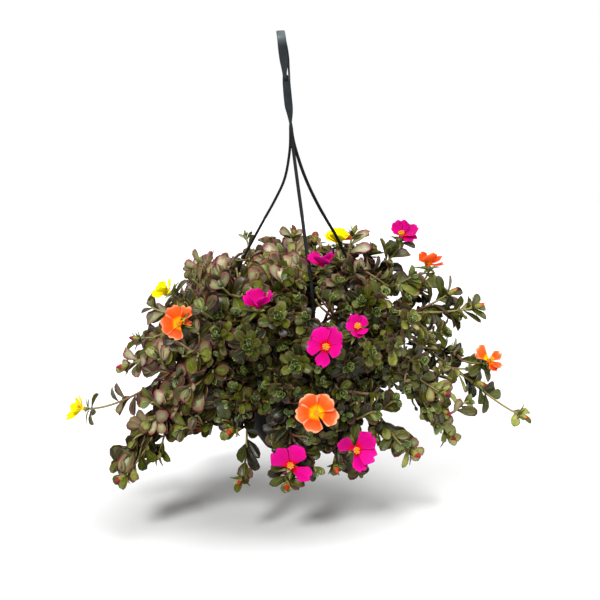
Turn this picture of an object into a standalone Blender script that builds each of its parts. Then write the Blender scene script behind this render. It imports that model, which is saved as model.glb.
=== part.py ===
"""A hanging basket of portulaca in an 18 cm plastic pot on a three-legged hanger.

Places are written in millimetres from the middle of the pot's underside, +Z up, with the
side that is seen first towards -Y. The part's own origin is where it hangs, the inside of
the top of the hanger's loop, so every object sits under one empty that lies
HANG_HEIGHT below it.
"""
import math

import bpy
import numpy as np
from mathutils import Vector
from mathutils.bvhtree import BVHTree

# Driving dimensions, in millimetres
HANG_HEIGHT = 458.0
POT_RADIUS = 93.0
POT_HEIGHT = 120.0
POT_WALL = 1.8
BASE_RADIUS = 36.5
SOIL_TOP = 104.0
SOIL_CROWN = 2.0
LEG_RING = 87.5
LEAF_LENGTH = 24.0
LEAF_HALF_WIDTH = 7.0
LEAF_THICKNESS = 1.7
PETAL_THICKNESS = 1.1
STEM_RADIUS = 2.0
BRANCH_RADIUS = 1.4
GAP = 0.3
ROOM = GAP + 0.1
MM = 0.001

TURNS = 26
GOLDEN = math.radians(137.5)
UP = np.array((0.0, 0.0, 1.0))

# Colours seen on the plant and its pot, as linear RGB
BLACK_PLASTIC = (0.006, 0.009, 0.007)
HANGER_PLASTIC = (0.035, 0.044, 0.048)
POTTING_SOIL = (0.035, 0.022, 0.014)
LEAF_GREEN = (0.075, 0.11, 0.03)
PETAL_COLOURS = {
    "magenta": (0.83, 0.004, 0.25),
    "orange": (0.93, 0.12, 0.012),
    "yellow": (0.98, 0.85, 0.01),
}
STAMEN_YELLOW = (0.9, 0.45, 0.03)

# Blooms: colour, middle of the bloom's foot, the way it looks, petal length, cup in degrees, spin
BLOOMS = {
    "front": ("magenta", (32, -195, 143), (0.1, -0.97, 0.15), 21, 12, 90),
    "front_small": ("magenta", (65, -170, 155), (0.0, -0.75, 0.65), 15, 22, 54),
    "front_high": ("magenta", (-33, -140, 176), (0.0, -0.45, 0.9), 19, 46, 126),
    "top": ("magenta", (34, -70, 208), (0.1, -0.3, 0.95), 18, 42, 100),
    "top_yellow": ("yellow", (56, 72, 219), (0.05, -0.25, 0.97), 19, 48, 60),
    "top_orange": ("orange", (61, 102, 219), (0.0, 0.1, 1.0), 18, 14, 80),
    "tall": ("magenta", (125, 0, 230), (-0.05, -0.6, 0.8), 20, 35, 96),
    "right_orange": ("orange", (155, 5, 196), (-0.15, -0.3, 0.94), 19, 38, 30),
    "far_right": ("orange", (212, -45, 94), (0.55, -0.6, 0.5), 19, 30, 130),
    "front_orange": ("orange", (21, -190, 77), (0.0, -0.98, 0.18), 24, 6, 54),
    "bottom_left": ("magenta", (-7, -152, 13), (0.0, -0.85, 0.5), 24, 18, 60),
    "bottom_right": ("magenta", (59, -150, 29), (0.25, -0.93, -0.05), 24, 14, 40),
    "left_orange": ("orange", (-115, -118, 160), (-0.3, -0.9, 0.2), 20, 15, 70),
    "left_yellow": ("yellow", (-135, -15, 180), (-0.7, -0.35, 0.6), 19, 40, 20),
    "far_left": ("yellow", (-228, -70, 65), (-0.93, -0.3, 0.2), 18, 38, 10),
    "back_magenta": ("magenta", (-110, 150, 175), (-0.4, 0.75, 0.5), 21, 15, 0),
    "back_orange": ("orange", (75, 165, 165), (0.3, 0.8, 0.5), 21, 18, 30),
}

# Shoots of each leafy stem. The first one rises from the stem's hole in the soil and the
# others fork from it. A shoot is its tip, what is on the tip, and how far along the first
# shoot it forks.
STEMS = {
    "low_left": ((-56, -28), (
        ((-190, -110, -5), "bud", 0),
        ("far_left", "bloom", 0.45),
        ((-155, -100, 12), "bud", 0.6),
        ((-150, -90, 55), "trail", 0.5),
    )),
    "left": ((-64, -10), (
        ((-190, -50, 105), "bud", 0),
        ((-178, -28, 133), "bud", 0.5),
        ((-142, -78, 85), "rosette", 0.45),
    )),
    "left_high": ((-40, -6), (
        ("left_orange", "bloom", 0),
        ((-155, -20, 165), "rosette", 0.4),
        ((-112, -140, 130), "rosette", 0.5),
    )),
    "left_top": ((-58, 20), (
        ("left_yellow", "bloom", 0),
        ((-108, -22, 195), "rosette", 0.4),
        ((-98, 15, 208), "rosette", 0.5),
    )),
    "top_left": ((-30, 22), (
        ((-50, 30, 236), "thin", 0),
        ((-76, 48, 212), "rosette", 0.4),
        ((-25, 62, 228), "rosette", 0.3),
    )),
    "front_left": ((-44, -38), (
        ((-74, -168, 155), "rosette", 0),
        ((-42, -184, 146), "rosette", 0.55),
        ((-90, -144, 176), "rosette", 0.4),
        ((-106, -148, 98), "rosette", 0.5),
    )),
    "front_left_high": ((-14, -34), (
        ("front_high", "bloom", 0),
        ((-70, -112, 195), "rosette", 0.4),
        ((-8, -118, 200), "rosette", 0.4),
        ((-12, -168, 170), "rosette", 0.5),
    )),
    "front_low_left": ((-28, -50), (
        ((-62, -125, -10), "bud", 0),
        ((-70, -125, 45), "bud", 0.6),
        ((-104, -102, 42), "bud", 0.5),
        ((-66, -150, 80), "trail", 0.6),
    )),
    "front_stem": ((26, -48), (
        ("front", "bloom", 0),
        ((2, -188, 124), "rosette", 0.6),
        ((16, -172, 170), "rosette", 0.45),
    )),
    "front_low": ((8, -58), (
        ("front_orange", "bloom", 0),
        ((-14, -176, 96), "rosette", 0.55),
        ((48, -172, 92), "rosette", 0.5),
    )),
    "front_bottom": ((-12, -58), (
        ("bottom_left", "bloom", 0),
        ((-12, -148, -10), "bud", 0.75),
        ((-20, -128, 36), "trail", 0.5),
    )),
    "front_bottom_right": ((26, -34), (
        ("bottom_right", "bloom", 0),
        ((40, -146, 5), "bud", 0.75),
        ((126, -122, 12), "bud", 0.5),
    )),
    "front_right": ((44, -36), (
        ("front_small", "bloom", 0),
        ((78, -175, 132), "rosette", 0.5),
        ((56, -182, 120), "rosette", 0.55),
        ((40, -150, 184), "rosette", 0.4),
    )),
    "front_right_high": ((20, -18), (
        ((95, -128, 182), "rosette", 0),
        ((50, -108, 196), "rosette", 0.35),
        ((122, -138, 158), "rosette", 0.5),
    )),
    "right_front": ((60, -26), (
        ((108, -158, 134), "rosette", 0),
        ((132, -142, 116), "rosette", 0.5),
        ((160, -112, 73), "bud", 0.45),
        ((163, -92, 48), "bud", 0.4),
    )),
    "right_low": ((66, -2), (
        ((255, -40, 28), "bud", 0),
        ("far_right", "bloom", 0.55),
        ((172, -50, 10), "bud", 0.5),
    )),
    "right": ((62, 20), (
        ((166, -58, 132), "rosette", 0),
        ((182, -38, 104), "rosette", 0.55),
        ((206, -52, 70), "bud", 0.6),
        ((148, -78, 80), "rosette", 0.5),
    )),
    "right_high": ((44, 4), (
        ((212, -10, 152), "bud", 0),
        ((184, 2, 168), "bud", 0.6),
        ("right_orange", "bloom", 0.45),
    )),
    "top_right": ((38, 30), (
        ("tall", "bloom", 0),
        ((132, -22, 187), "trail", 0.5),
        ((110, 12, 198), "rosette", 0.4),
        ((94, 42, 214), "rosette", 0.35),
        ((76, 22, 242), "bud", 0.3),
    )),
    "top_stem": ((4, 6), (
        ("top", "bloom", 0),
        ((5, 2, 245), "bud", 0.3),
        ((74, -62, 205), "rosette", 0.4),
    )),
    "top_back": ((12, 36), (
        ("top_orange", "bloom", 0),
        ("top_yellow", "bloom", 0.45),
        ((30, 50, 232), "bud", 0.4),
    )),
    "back_left": ((-42, 46), (
        ("back_magenta", "bloom", 0),
        ((-158, 95, 120), "rosette", 0.45),
        ((-105, 168, 105), "rosette", 0.5),
        ((-165, 100, 30), "trail", 0.4),
        ((-72, 120, 195), "rosette", 0.4),
    )),
    "back_right": ((34, 58), (
        ("back_orange", "bloom", 0),
        ((0, 190, 130), "rosette", 0.5),
        ((120, 150, 100), "rosette", 0.5),
        ((160, 90, 125), "rosette", 0.4),
        ((30, 185, 35), "trail", 0.5),
        ((20, 120, 195), "rosette", 0.4),
    )),
}

# The hanger: strap stations as x, y, z, width and thickness, and the three legs' ways down
STRAP = (
    (6.8, 0.0, 360.0, 2.8, 2.6),
    (6.5, 0.0, 370.0, 6.4, 2.4),
    (5.7, 0.0, 378.0, 8.8, 2.4),
    (4.9, 0.0, 390.0, 9.1, 2.4),
    (4.2, 0.0, 405.5, 8.7, 2.4),
)
LOOP = (
    (7.2, 0.0, 396.0, 2.2, 2.0),
    (7.5, 2.0, 410.0, 2.3, 3.2),
    (7.2, 6.0, 421.0, 2.6, 3.2),
    (6.0, 8.0, 431.0, 4.8, 2.8),
    (3.6, 8.6, 441.0, 7.8, 2.4),
    (1.2, 8.2, 450.0, 9.6, 2.2),
    (0.5, 6.6, 455.4, 9.6, 2.2),
    (0.0, 3.2, HANG_HEIGHT + 1.1, 9.4, 2.2),
    (0.0, -3.2, HANG_HEIGHT + 1.1, 9.4, 2.2),
    (0.5, -6.6, 455.4, 9.6, 2.2),
    (1.0, -8.2, 450.0, 9.8, 2.2),
    (1.6, -8.4, 440.0, 10.0, 2.2),
    (2.2, -7.6, 430.0, 9.4, 2.2),
    (2.5, -6.0, 421.0, 7.0, 2.0),
    (2.6, -4.0, 414.5, 5.0, 1.9),
    (2.6, -2.4, 409.5, 4.4, 1.8),
)
LEVEL_STATIONS = (7, 8)
LEG_ANGLES = {"front": 13.0, "right": 133.0, "left": -107.0}
LEG_WAYS = {
    "front": (
        (7.0, -0.4, 357), (8.7, -3.3, 331), (12, -21, 294), (15.5, -42, 258),
        (18, -58, 230), (21, -73, 202), (23, -84, 169), (22.5, -88, 148),
    ),
    "right": (
        (7.2, 0.3, 357), (9.5, 2, 339), (16, 6, 314), (23.6, 14, 292), (33.6, 24, 269),
        (43.8, 33, 249), (54.5, 43, 229), (63, 51, 209), (69, 57, 192), (71, 61, 165),
    ),
    "left": (
        (6.6, 0.3, 357), (4.8, 1, 331), (-1.7, 3, 301), (-13, 6.5, 278), (-27, 11, 255),
        (-42, 15, 230), (-55, 19, 207), (-64, 21.5, 186), (-75, 24, 155),
    ),
}
LEG_WIDTH = 3.4
LEG_THICKNESS = 2.0
STRAIGHT_FROM = 130.0
FOOT_SIZE = (3.4, 6.0, 4.0)
COLLAR = (
    (7.0, 0.0, 361.0, 1.5), (7.1, 0.0, 355.0, 2.3), (7.6, 0.0, 342.0, 2.5), (8.0, 0.0, 333.0, 2.2),
)

# The pot: its flange and lip, its wall's outside as radius and height, and its drain holes
FLANGE_UNDER = 118.0
LIP_LOW = 112.0
LIP_WALL = 1.6
POT_FLOOR = 2.5
WALL_OUTSIDE = ((83.5, FLANGE_UNDER), (77.0, 90.0), (66.0, 55.0), (54.0, 26.0), (BASE_RADIUS, 0.0))
DRAIN_RING = 22.0
DRAIN_RADIUS = 4.0
DRAINS = 5


def unit(vector):
    return vector / np.linalg.norm(vector)


def mesh_of(name, points, faces):
    mesh = bpy.data.meshes.new(name)
    mesh.from_pydata([tuple(p) for p in np.asarray(points) * MM], [], faces)
    mesh.update()
    return mesh


def material_of(name, colour, roughness):
    material = bpy.data.materials.new(name)
    material.use_nodes = True
    shader = material.node_tree.nodes["Principled BSDF"]
    shader.inputs["Base Color"].default_value = (*colour, 1.0)
    shader.inputs["Roughness"].default_value = roughness
    shader.inputs["Metallic"].default_value = 0.0
    return material


def add_object(name, mesh, material=None, parent=None):
    piece = bpy.data.objects.new(name, mesh)
    bpy.context.collection.objects.link(piece)
    piece.parent = parent
    if material:
        mesh.materials.append(material)
    return piece


def settle(piece):
    """Gives the object the mesh that its modifiers make, and drops the modifiers."""
    bpy.context.view_layer.update()
    graph = bpy.context.evaluated_depsgraph_get()
    finished = bpy.data.meshes.new_from_object(piece.evaluated_get(graph))
    piece.modifiers.clear()
    piece.data = finished


def join_shapes(name, shapes, material, parent):
    """One solid from overlapping shapes: a Boolean union of the first with the rest."""
    piece = add_object(name, mesh_of(name, *shapes[0]), material, parent)
    others = bpy.data.collections.new(name + "_shapes")
    bpy.context.scene.collection.children.link(others)
    for points, faces in shapes[1:]:
        shape = bpy.data.objects.new(name + "_shape", mesh_of(name, points, faces))
        shape.parent = parent
        others.objects.link(shape)
    union = piece.modifiers.new("union", "BOOLEAN")
    union.operation = "UNION"
    union.operand_type = "COLLECTION"
    union.collection = others
    settle(piece)
    for shape in list(others.objects):
        bpy.data.objects.remove(shape)
    bpy.data.collections.remove(others)
    return piece


def cut_shapes(piece, shapes, parent):
    """Takes the shapes out of the piece, with one Boolean difference each."""
    for points, faces in shapes:
        cutter = add_object(piece.name + "_cutter", mesh_of("cutter", points, faces), None, parent)
        cutter.hide_render = True
        cutter.display_type = "WIRE"
        cut = piece.modifiers.new("cut", "BOOLEAN")
        cut.operation = "DIFFERENCE"
        cut.object = cutter
    settle(piece)
    for thing in [o for o in bpy.data.objects if o.name.startswith(piece.name + "_cutter")]:
        bpy.data.objects.remove(thing)


def turned(name, profile, material, parent):
    """A turned solid: the profile runs from the axis out, up, over and down its outer side."""
    points = [(radius * MM, 0.0, height * MM) for radius, height in profile]
    mesh = bpy.data.meshes.new(name)
    mesh.from_pydata(points, [(i, i + 1) for i in range(len(points) - 1)], [])
    piece = add_object(name, mesh, None, parent)
    screw = piece.modifiers.new("turn", "SCREW")
    screw.steps = TURNS
    screw.render_steps = TURNS
    screw.use_merge_vertices = True
    screw.merge_threshold = 0.00005
    settle(piece)
    piece.data.materials.append(material)
    return piece


def loft(rings):
    """A closed skin over rings of points that have the same count."""
    count = len(rings[0])
    points = np.concatenate(rings)
    faces = []
    for k in range(len(rings) - 1):
        for i in range(count):
            j = (i + 1) % count
            a, b, c, d = k * count + i, k * count + j, (k + 1) * count + j, (k + 1) * count + i
            faces.append((a, b, c, d))
    faces.append(tuple(reversed(range(count))))
    faces.append(tuple(range(len(points) - count, len(points))))
    return points, faces


def upright_block(centre, across, size):
    """A box at centre with its first size along across, its second along the horizontal square to it."""
    across = unit(np.array(across))
    beside = np.cross(UP, across)
    centre = np.array(centre, float)
    corners = ((-1, -1), (1, -1), (1, 1), (-1, 1))
    ring = np.array([centre + across * a * size[0] / 2 + beside * b * size[1] / 2 for a, b in corners])
    return loft([ring - UP * size[2] / 2, ring + UP * size[2] / 2])


def prism(centre, radius, low, high, sides):
    turn = 2 * math.pi * np.arange(sides) / sides
    ring = np.stack([centre[0] + radius * np.cos(turn), centre[1] + radius * np.sin(turn), 0 * turn], 1)
    return loft([ring + UP * low, ring + UP * high])


def ribbon(stations, widthways, level=(), square=False):
    """A flat strap through stations of x, y, z, width and thickness, its corners cut or left square."""
    centres = np.array([s[:3] for s in stations], float)
    tangents = np.gradient(centres, axis=0)
    rings = []
    for k, (centre, tangent) in enumerate(zip(centres, tangents)):
        wide = np.array(widthways, float)
        thick = UP if k in level else unit(np.cross(wide, tangent))
        half_wide, half_thick = stations[k][3] / 2, stations[k][4] / 2
        cut = half_thick * 0.45
        corners = (
            (half_wide, half_thick - cut), (half_wide - cut, half_thick),
            (cut - half_wide, half_thick), (-half_wide, half_thick - cut),
            (-half_wide, cut - half_thick), (cut - half_wide, -half_thick),
            (half_wide - cut, -half_thick), (half_wide, cut - half_thick),
        )
        if square:
            corners = corners[0::2]
        # A level station keeps its thickness pointing the same way round the bend as its neighbours.
        if k in level and np.dot(unit(np.cross(wide, tangent)), UP) < 0:
            thick = -UP
        rings.append(np.array([centre + wide * a + thick * b for a, b in corners]))
    return loft(rings)


def carried_frames(points):
    """Tangents along a path and one direction square to each, carried along without twist."""
    tangents = np.gradient(points, axis=0)
    tangents /= np.linalg.norm(tangents, axis=1)[:, None]
    side = np.array((1.0, 0.0, 0.0))
    side = unit(side - tangents[0] * side.dot(tangents[0]))
    sides = []
    for tangent in tangents:
        side = unit(side - tangent * side.dot(tangent))
        sides.append(side)
    return tangents, np.array(sides)


def tube(points, radii, sides):
    """A round rod along points, closed at both ends."""
    tangents, aside = carried_frames(points)
    turn = 2 * math.pi * np.arange(sides) / sides
    rings = []
    for point, tangent, first, radius in zip(points, tangents, aside, radii):
        second = np.cross(tangent, first)
        rings.append(point + radius * (np.outer(np.cos(turn), first) + np.outer(np.sin(turn), second)))
    return loft(rings)


# How a shoot runs: the crest that low ones go over, and the paths' fine and coarse points
CREST_RADIUS = 108.0
CREST_HEIGHT = 148.0
HANGS_BELOW = 118.0
HOLE_DEPTH = 14.0
FINE_POINTS = 24
ROUTE_STEP = 4.0
STATION_ERROR = 1.9
ROD_SIDES = 4
TIP_RADIUS = 1.1
TAIL_ROOM = 6.0

# A rod's end, as distance from the tip and radius: a swollen bud, the cup under a bloom, a bare tip
ROD_ENDS = {
    "bud": ((9.5, 1.1), (5.0, 2.6), (0.0, 0.7)),
    "bloom": ((5.0, 1.3), (0.0, 2.7)),
}
BARE_END = ((0.0, 0.8),)

# Tips look outwards up to this radius, and upwards above this height, over this much more height
FACE_RADIUS = 120.0
FACE_HEIGHT = 90.0
FACE_RISE = 130.0

# A leaf's distance along its shoot, and what of its stalk may touch its own stem
INTERNODE = 9.0
FIRST_LEAF = 1.5
LEAFY_SHARE = 0.85
STALK_SHARE = 0.2
LEAF_CUP = 1.0

# The foot and the pad that a bloom's petals stand on, and each petal's roll
FOOT_RADIUS = 3.0
PAD_RADIUS = 2.6
FOOT_HEIGHT = 1.8
PINWHEEL = math.radians(12.0)
PETAL_DISH = 1.2

# The stamens: a drum on the pad, and the ring that their tips reach
DRUM_RADIUS = 1.6
DRUM_HEIGHT = 1.3
TUFT_RADIUS = 3.1
TUFT_HEIGHT = 4.6

# Leaf and petal outlines as share of the length and share of the half width, root to tip
LEAF_OUTLINE = ((0.36, 0.6), (0.7, 1.0), (0.95, 0.5))
PETAL_OUTLINE = ((0.4, 0.68), (0.8, 1.0), (1.0, 0.5))
PETAL_NOTCH = 0.92

# For each kind of shoot: its leaves as (distance from tip in internodes, length, width, lean)
KINDS = {
    "rosette": ((0.3, 0.78, 1.0, 48), (0.6, 0.85, 1.0, 54), (1.4, 1.0, 1.05, 60), (3.2, 1.05, 1.1, 66)),
    "trail": ((0.4, 0.75, 0.95, 40), (1.7, 1.0, 1.1, 50), (3.2, 1.1, 1.15, 58), (4.8, 1.1, 1.15, 64)),
    "bud": ((1.2, 0.65, 0.65, 52), (2.4, 0.9, 0.9, 60), (4.0, 1.0, 1.05, 66)),
    "thin": ((0.3, 0.6, 0.6, 35), (2.0, 0.8, 0.75, 52), (4.2, 0.8, 0.8, 60)),
    "bloom": ((0.9, 0.7, 0.65, 62), (2.2, 0.9, 0.95, 62), (4.2, 1.0, 1.05, 66)),
}


def draws(stem, shoot, leaf):
    """Four numbers from 0 to 1 that belong to one leaf, the same in every run."""
    return np.random.default_rng((stem, shoot, leaf)).random(4)


def resting_face(tip):
    """The way an ordinary tip looks: outwards, and more and more up the higher it stands."""
    outward = tip * (1, 1, 0)
    far = min(np.linalg.norm(outward) / FACE_RADIUS, 1.0)
    return unit(unit(outward) * far + UP * np.clip((tip[2] - FACE_HEIGHT) / FACE_RISE, -0.3, 1.2))


def bend(start, out, end, into):
    """Points of a cubic from start to end, with the given slopes at its ends."""
    t = np.linspace(0, 1, FINE_POINTS)[:, None]
    return (
        start * (2 * t**3 - 3 * t**2 + 1) + out * (t**3 - 2 * t**2 + t)
        + end * (3 * t**2 - 2 * t**3) + into * (t**3 - t**2)
    )


def run_of(points):
    """The length covered at each point of a path."""
    return np.concatenate(([0], np.cumsum(np.linalg.norm(np.diff(points, axis=0), axis=1))))


def point_at(points, reach):
    """The point of a path after a length of it."""
    run = run_of(points)
    return np.array([np.interp(reach, run, points[:, k]) for k in range(3)])


def evenly(points, step):
    """The path's points spread evenly, about step apart."""
    run = run_of(points)
    count = max(3, round(run[-1] / step) + 1)
    along = np.linspace(0, run[-1], count)
    return np.stack([np.interp(along, run, points[:, k]) for k in range(3)], 1)


def thinned(points, within):
    """The fewest of the path's points whose straight runs stay within a distance of it."""
    chord = points[-1] - points[0]
    away = np.cross(points - points[0], unit(chord))
    off = np.linalg.norm(away, axis=1)
    worst = int(off.argmax())
    if off[worst] < within:
        return points[[0, -1]]
    return np.concatenate((thinned(points[:worst + 1], within)[:-1], thinned(points[worst:], within)))


def shoot_route(start, heading, tip, face):
    """A shoot's fine path. One whose tip hangs low first goes over a crest beyond the pot's rim."""
    outward = unit(tip * (1, 1, 0))
    if tip[2] > HANGS_BELOW or np.hypot(*start[:2]) > POT_RADIUS:
        chord = np.linalg.norm(tip - start)
        return bend(start, heading * chord, tip, face * chord * 0.8)
    crest = outward * CREST_RADIUS + UP * CREST_HEIGHT
    rise, fall = np.linalg.norm(crest - start), np.linalg.norm(tip - crest)
    level = outward * min(rise, fall) * 0.7
    over = bend(start, heading * rise * 1.2, crest, level)
    down = bend(crest, level, tip, face * fall * 0.75)
    return np.concatenate((over, down[1:]))


def shoot_radii(points, face, root, kind):
    """Radii along a shoot, with the swelling of a bud or the cup under a bloom at its end."""
    run = run_of(points)
    radii = np.interp(run, (0, run[-1]), (root, TIP_RADIUS))
    ends = ROD_ENDS.get(kind, BARE_END)
    keep = run < run[-1] - ends[0][0] - TAIL_ROOM
    tail = np.array([points[-1] - face * back for back, _ in ends])
    return np.concatenate((points[keep], tail)), np.concatenate((radii[keep], [r for _, r in ends]))


def blade(root, along, face, length, half_width, arch):
    """A leaf, and the same leaf without the end of its stalk.

    It is a fleshy blade, thickest on its midrib, with its sides raised and its run arched.
    """
    beside = np.cross(face, along)

    def at(u, v, lift):
        height = lift + LEAF_CUP * v * v + arch * length * 4 * u * (1 - u)
        return root + along * length * u + beside * half_width * v + face * height

    left = [at(u, v, 0) for u, v in LEAF_OUTLINE]
    right = [at(u, -v, 0) for u, v in LEAF_OUTLINE]
    ridges = [at(0.55, 0, LEAF_THICKNESS / 2), at(0.45, 0, -LEAF_THICKNESS / 2)]
    points = [at(0, 0, 0), *left, *right, *ridges]
    rim = (0, 1, 2, 3, 6, 5, 4)
    rib, keel = 7, 8
    faces = [(rim[(k + 1) % 7], rim[k], rib) for k in range(7)]
    faces += [(rim[k], rim[(k + 1) % 7], keel) for k in range(7)]
    whole = np.array(points)
    clear = whole.copy()
    clear[0] = at(STALK_SHARE, 0, 0)
    return (whole, faces), (clear, faces)


def swollen(points, faces, by):
    """The same shape with its surface moved out by a distance, to test for room."""
    normals = np.zeros_like(points)
    for face in faces:
        a, b, c = points[list(face[:3])]
        across = np.cross(b - a, c - a)
        normals[list(face)] += across / (np.linalg.norm(across) + 1e-9)
    normals /= np.linalg.norm(normals, axis=1)[:, None] + 1e-9
    return points + normals * by


class Room:
    """Remembers what stands where, and says whether a new shape keeps clear of all of it."""

    def __init__(self):
        self.kept = []

    def keep(self, points, faces):
        tree = BVHTree.FromPolygons([Vector(p) for p in points], faces)
        self.kept.append((points.min(axis=0), points.max(axis=0), tree))

    def clear_of(self, points, faces):
        wide = swollen(points, faces, ROOM)
        low, high = wide.min(axis=0), wide.max(axis=0)
        tree = BVHTree.FromPolygons([Vector(p) for p in wide], faces)
        return not any(
            (low <= its_high).all() and (high >= its_low).all() and tree.overlap(its_tree)
            for its_low, its_high, its_tree in self.kept
        )


def bloom_axes(face, spin):
    """A function that gives the level direction of a bloom at a turn from its spin."""
    first = unit(np.cross(face, (0.0, 0.0, 1.0) if abs(face[2]) < 0.9 else (0.0, 1.0, 0.0)))
    second = np.cross(face, first)
    return lambda turn: first * math.cos(spin + turn) + second * math.sin(spin + turn)


def corolla(centre, face, petal_length, cup, spin):
    """Five notched petals round one foot, each rolled so that its sides pass its neighbours."""
    outward = bloom_axes(face, spin)
    half_width = petal_length * (0.54 - 0.1 * math.sin(cup))
    bowl = -0.05 - 0.04 * math.sin(cup)
    half_thick = PETAL_THICKNESS / 2
    ring = centre + face * FOOT_HEIGHT / 2
    points = [centre]
    points += [ring + outward(math.tau * (k - 0.5) / 5) * FOOT_RADIUS for k in range(5)]
    points += [centre + face * FOOT_HEIGHT + outward(math.tau * k / 5) * PAD_RADIUS for k in range(5)]
    faces = [(6, 7, 8, 9, 10)]
    for k in range(5):
        out = outward(math.tau * k / 5)
        along = out * math.cos(cup) + face * math.sin(cup)
        top = face * math.cos(cup) - out * math.sin(cup)
        beside = np.cross(top, along)
        top, beside = (
            top * math.cos(PINWHEEL) + beside * math.sin(PINWHEEL),
            beside * math.cos(PINWHEEL) - top * math.sin(PINWHEEL),
        )
        root = ring + out * FOOT_RADIUS * 0.6

        def at(u, v, lift):
            height = lift + PETAL_DISH * v * v + bowl * petal_length * 4 * u * (1 - u)
            return root + along * petal_length * u + beside * half_width * v + top * height

        first = len(points)
        points += [at(u, v, 0) for u, v in PETAL_OUTLINE]
        points += [at(PETAL_NOTCH, 0, 0)]
        points += [at(u, -v, 0) for u, v in reversed(PETAL_OUTLINE)]
        points += [at(0.4, 0, half_thick), at(0.78, 0, half_thick), at(0.5, 0, -half_thick)]
        l1, l2, l3, notch, r3, r2, r1, a, b, keel = range(first, first + 10)
        left, right, pad, next_pad = 1 + (k + 1) % 5, 1 + k, 6 + k, 6 + (k + 1) % 5
        faces += [
            (pad, right, a), (right, r1, a), (r1, b, a), (r1, r2, b), (r2, r3, b), (r3, notch, b),
            (notch, l3, b), (l3, l2, b), (l2, l1, b), (l1, a, b), (l1, left, a), (left, pad, a),
            (pad, left, next_pad),
            (right, 0, keel), (0, left, keel), (left, l1, keel), (l1, l2, keel), (l2, l3, keel),
            (l3, notch, keel), (notch, r3, keel), (r3, r2, keel), (r2, r1, keel), (r1, right, keel),
        ]
    return np.array(points), faces


def stamen_tuft(centre, face, spin):
    """A low drum that ends in five leaning points, one for each cluster of stamens."""
    outward = bloom_axes(face, spin)
    turns = [math.tau * k / 5 for k in range(5)]
    foot = centre + face * (FOOT_HEIGHT + GAP)
    points = [foot + outward(turn) * DRUM_RADIUS for turn in turns]
    points += [foot + outward(turn) * (DRUM_RADIUS + 0.5) + face * DRUM_HEIGHT for turn in turns]
    points += [
        foot + outward(turn + math.tau / 10) * TUFT_RADIUS + face * TUFT_HEIGHT for turn in turns
    ]
    points += [foot + face * TUFT_HEIGHT / 2]
    faces = [(4, 3, 2, 1, 0)]
    for k in range(5):
        after = (k + 1) % 5
        faces += [(k, after, 5 + after, 5 + k), (5 + k, 5 + after, 10 + k)]
        faces += [(5 + after, 15, 10 + k), (15, 5 + k, 10 + k)]
    return np.array(points), faces


def tip_and_face(tip):
    """Where a shoot ends and how it points there; a bloom's shoot ends just under the bloom's foot."""
    if tip in BLOOMS:
        face = unit(np.array(BLOOMS[tip][2], float))
        return np.array(BLOOMS[tip][1], float) - face * GAP, face
    tip = np.array(tip, float)
    return tip, resting_face(tip)


def grown_shoots(hole, shoots):
    """Each shoot of a stem as its fine path, its rod's axis and radii, and the kind of its tip."""
    grown = []
    for tip, kind, fork in shoots:
        end, face = tip_and_face(tip)
        if grown:
            _, axis, _, _ = grown[0]
            reach = run_of(axis)[-1] * fork
            start = point_at(axis, reach)
            ahead = unit(point_at(axis, reach + 5.0) - start)
            heading = unit(ahead * 0.7 + unit(end - start))
        else:
            start, heading = np.array((*hole, SOIL_TOP + 4.0)), UP
        route = evenly(shoot_route(start, heading, end, face), ROUTE_STEP)
        coarse = thinned(route, STATION_ERROR)
        axis, radii = shoot_radii(coarse, face, BRANCH_RADIUS if grown else STEM_RADIUS, kind)
        if not grown:
            axis = np.concatenate(([(*hole, SOIL_TOP - HOLE_DEPTH + GAP)], axis))
            radii = np.concatenate(([STEM_RADIUS], radii))
        grown.append((route, axis, radii, kind))
    return grown


def leaf_tries(numbers, route, axis, kind):
    """For each leaf of one shoot, the blades to try in turn until one has room."""
    stem, shoot = numbers
    length_run, axis_length = run_of(route), run_of(axis)[-1]
    tangents, asides = carried_frames(route)
    for leaf, (back, share, wide, lean) in enumerate(KINDS[kind]):
        size, width, turn, droop = draws(stem, shoot, leaf)
        distance = back * INTERNODE + FIRST_LEAF
        if distance > length_run[-1] * LEAFY_SHARE:
            continue
        spot = int(np.searchsorted(length_run, length_run[-1] - distance))
        root = point_at(axis, axis_length - distance)
        tangent, first = tangents[spot], asides[spot]
        second = np.cross(tangent, first)
        length = LEAF_LENGTH * share * (0.9 + 0.2 * size)
        half_width = LEAF_HALF_WIDTH * wide * (0.88 + 0.24 * width)
        tries = []
        for more_lean in (0, -14, 12):
            for more_turn in (0, 25, -25, 50, -50, 80, -80):
                azimuth = GOLDEN * leaf + math.tau * shoot * 0.37 + 0.5 * turn + math.radians(more_turn)
                slant = math.radians(lean + more_lean)
                out = first * math.cos(azimuth) + second * math.sin(azimuth)
                along = tangent * math.cos(slant) + out * math.sin(slant)
                face = tangent * math.sin(slant) - out * math.cos(slant)
                tries.append(blade(root, along, face, length, half_width, 0.03 + 0.05 * droop))
        yield tries


def inner_radius(height, room=0.0):
    """The radius inside the pot's wall at a height, less some room."""
    radii, heights = zip(*reversed(WALL_OUTSIDE))
    return float(np.interp(height, heights, radii)) - POT_WALL - room


def inner_side(low, high, room=0.0):
    """The inside of the pot's wall from one height up to another, as radius and height."""
    bends = [height for _, height in reversed(WALL_OUTSIDE) if low < height < high]
    return [(inner_radius(height, room), height) for height in (low, *bends, high)]


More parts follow.
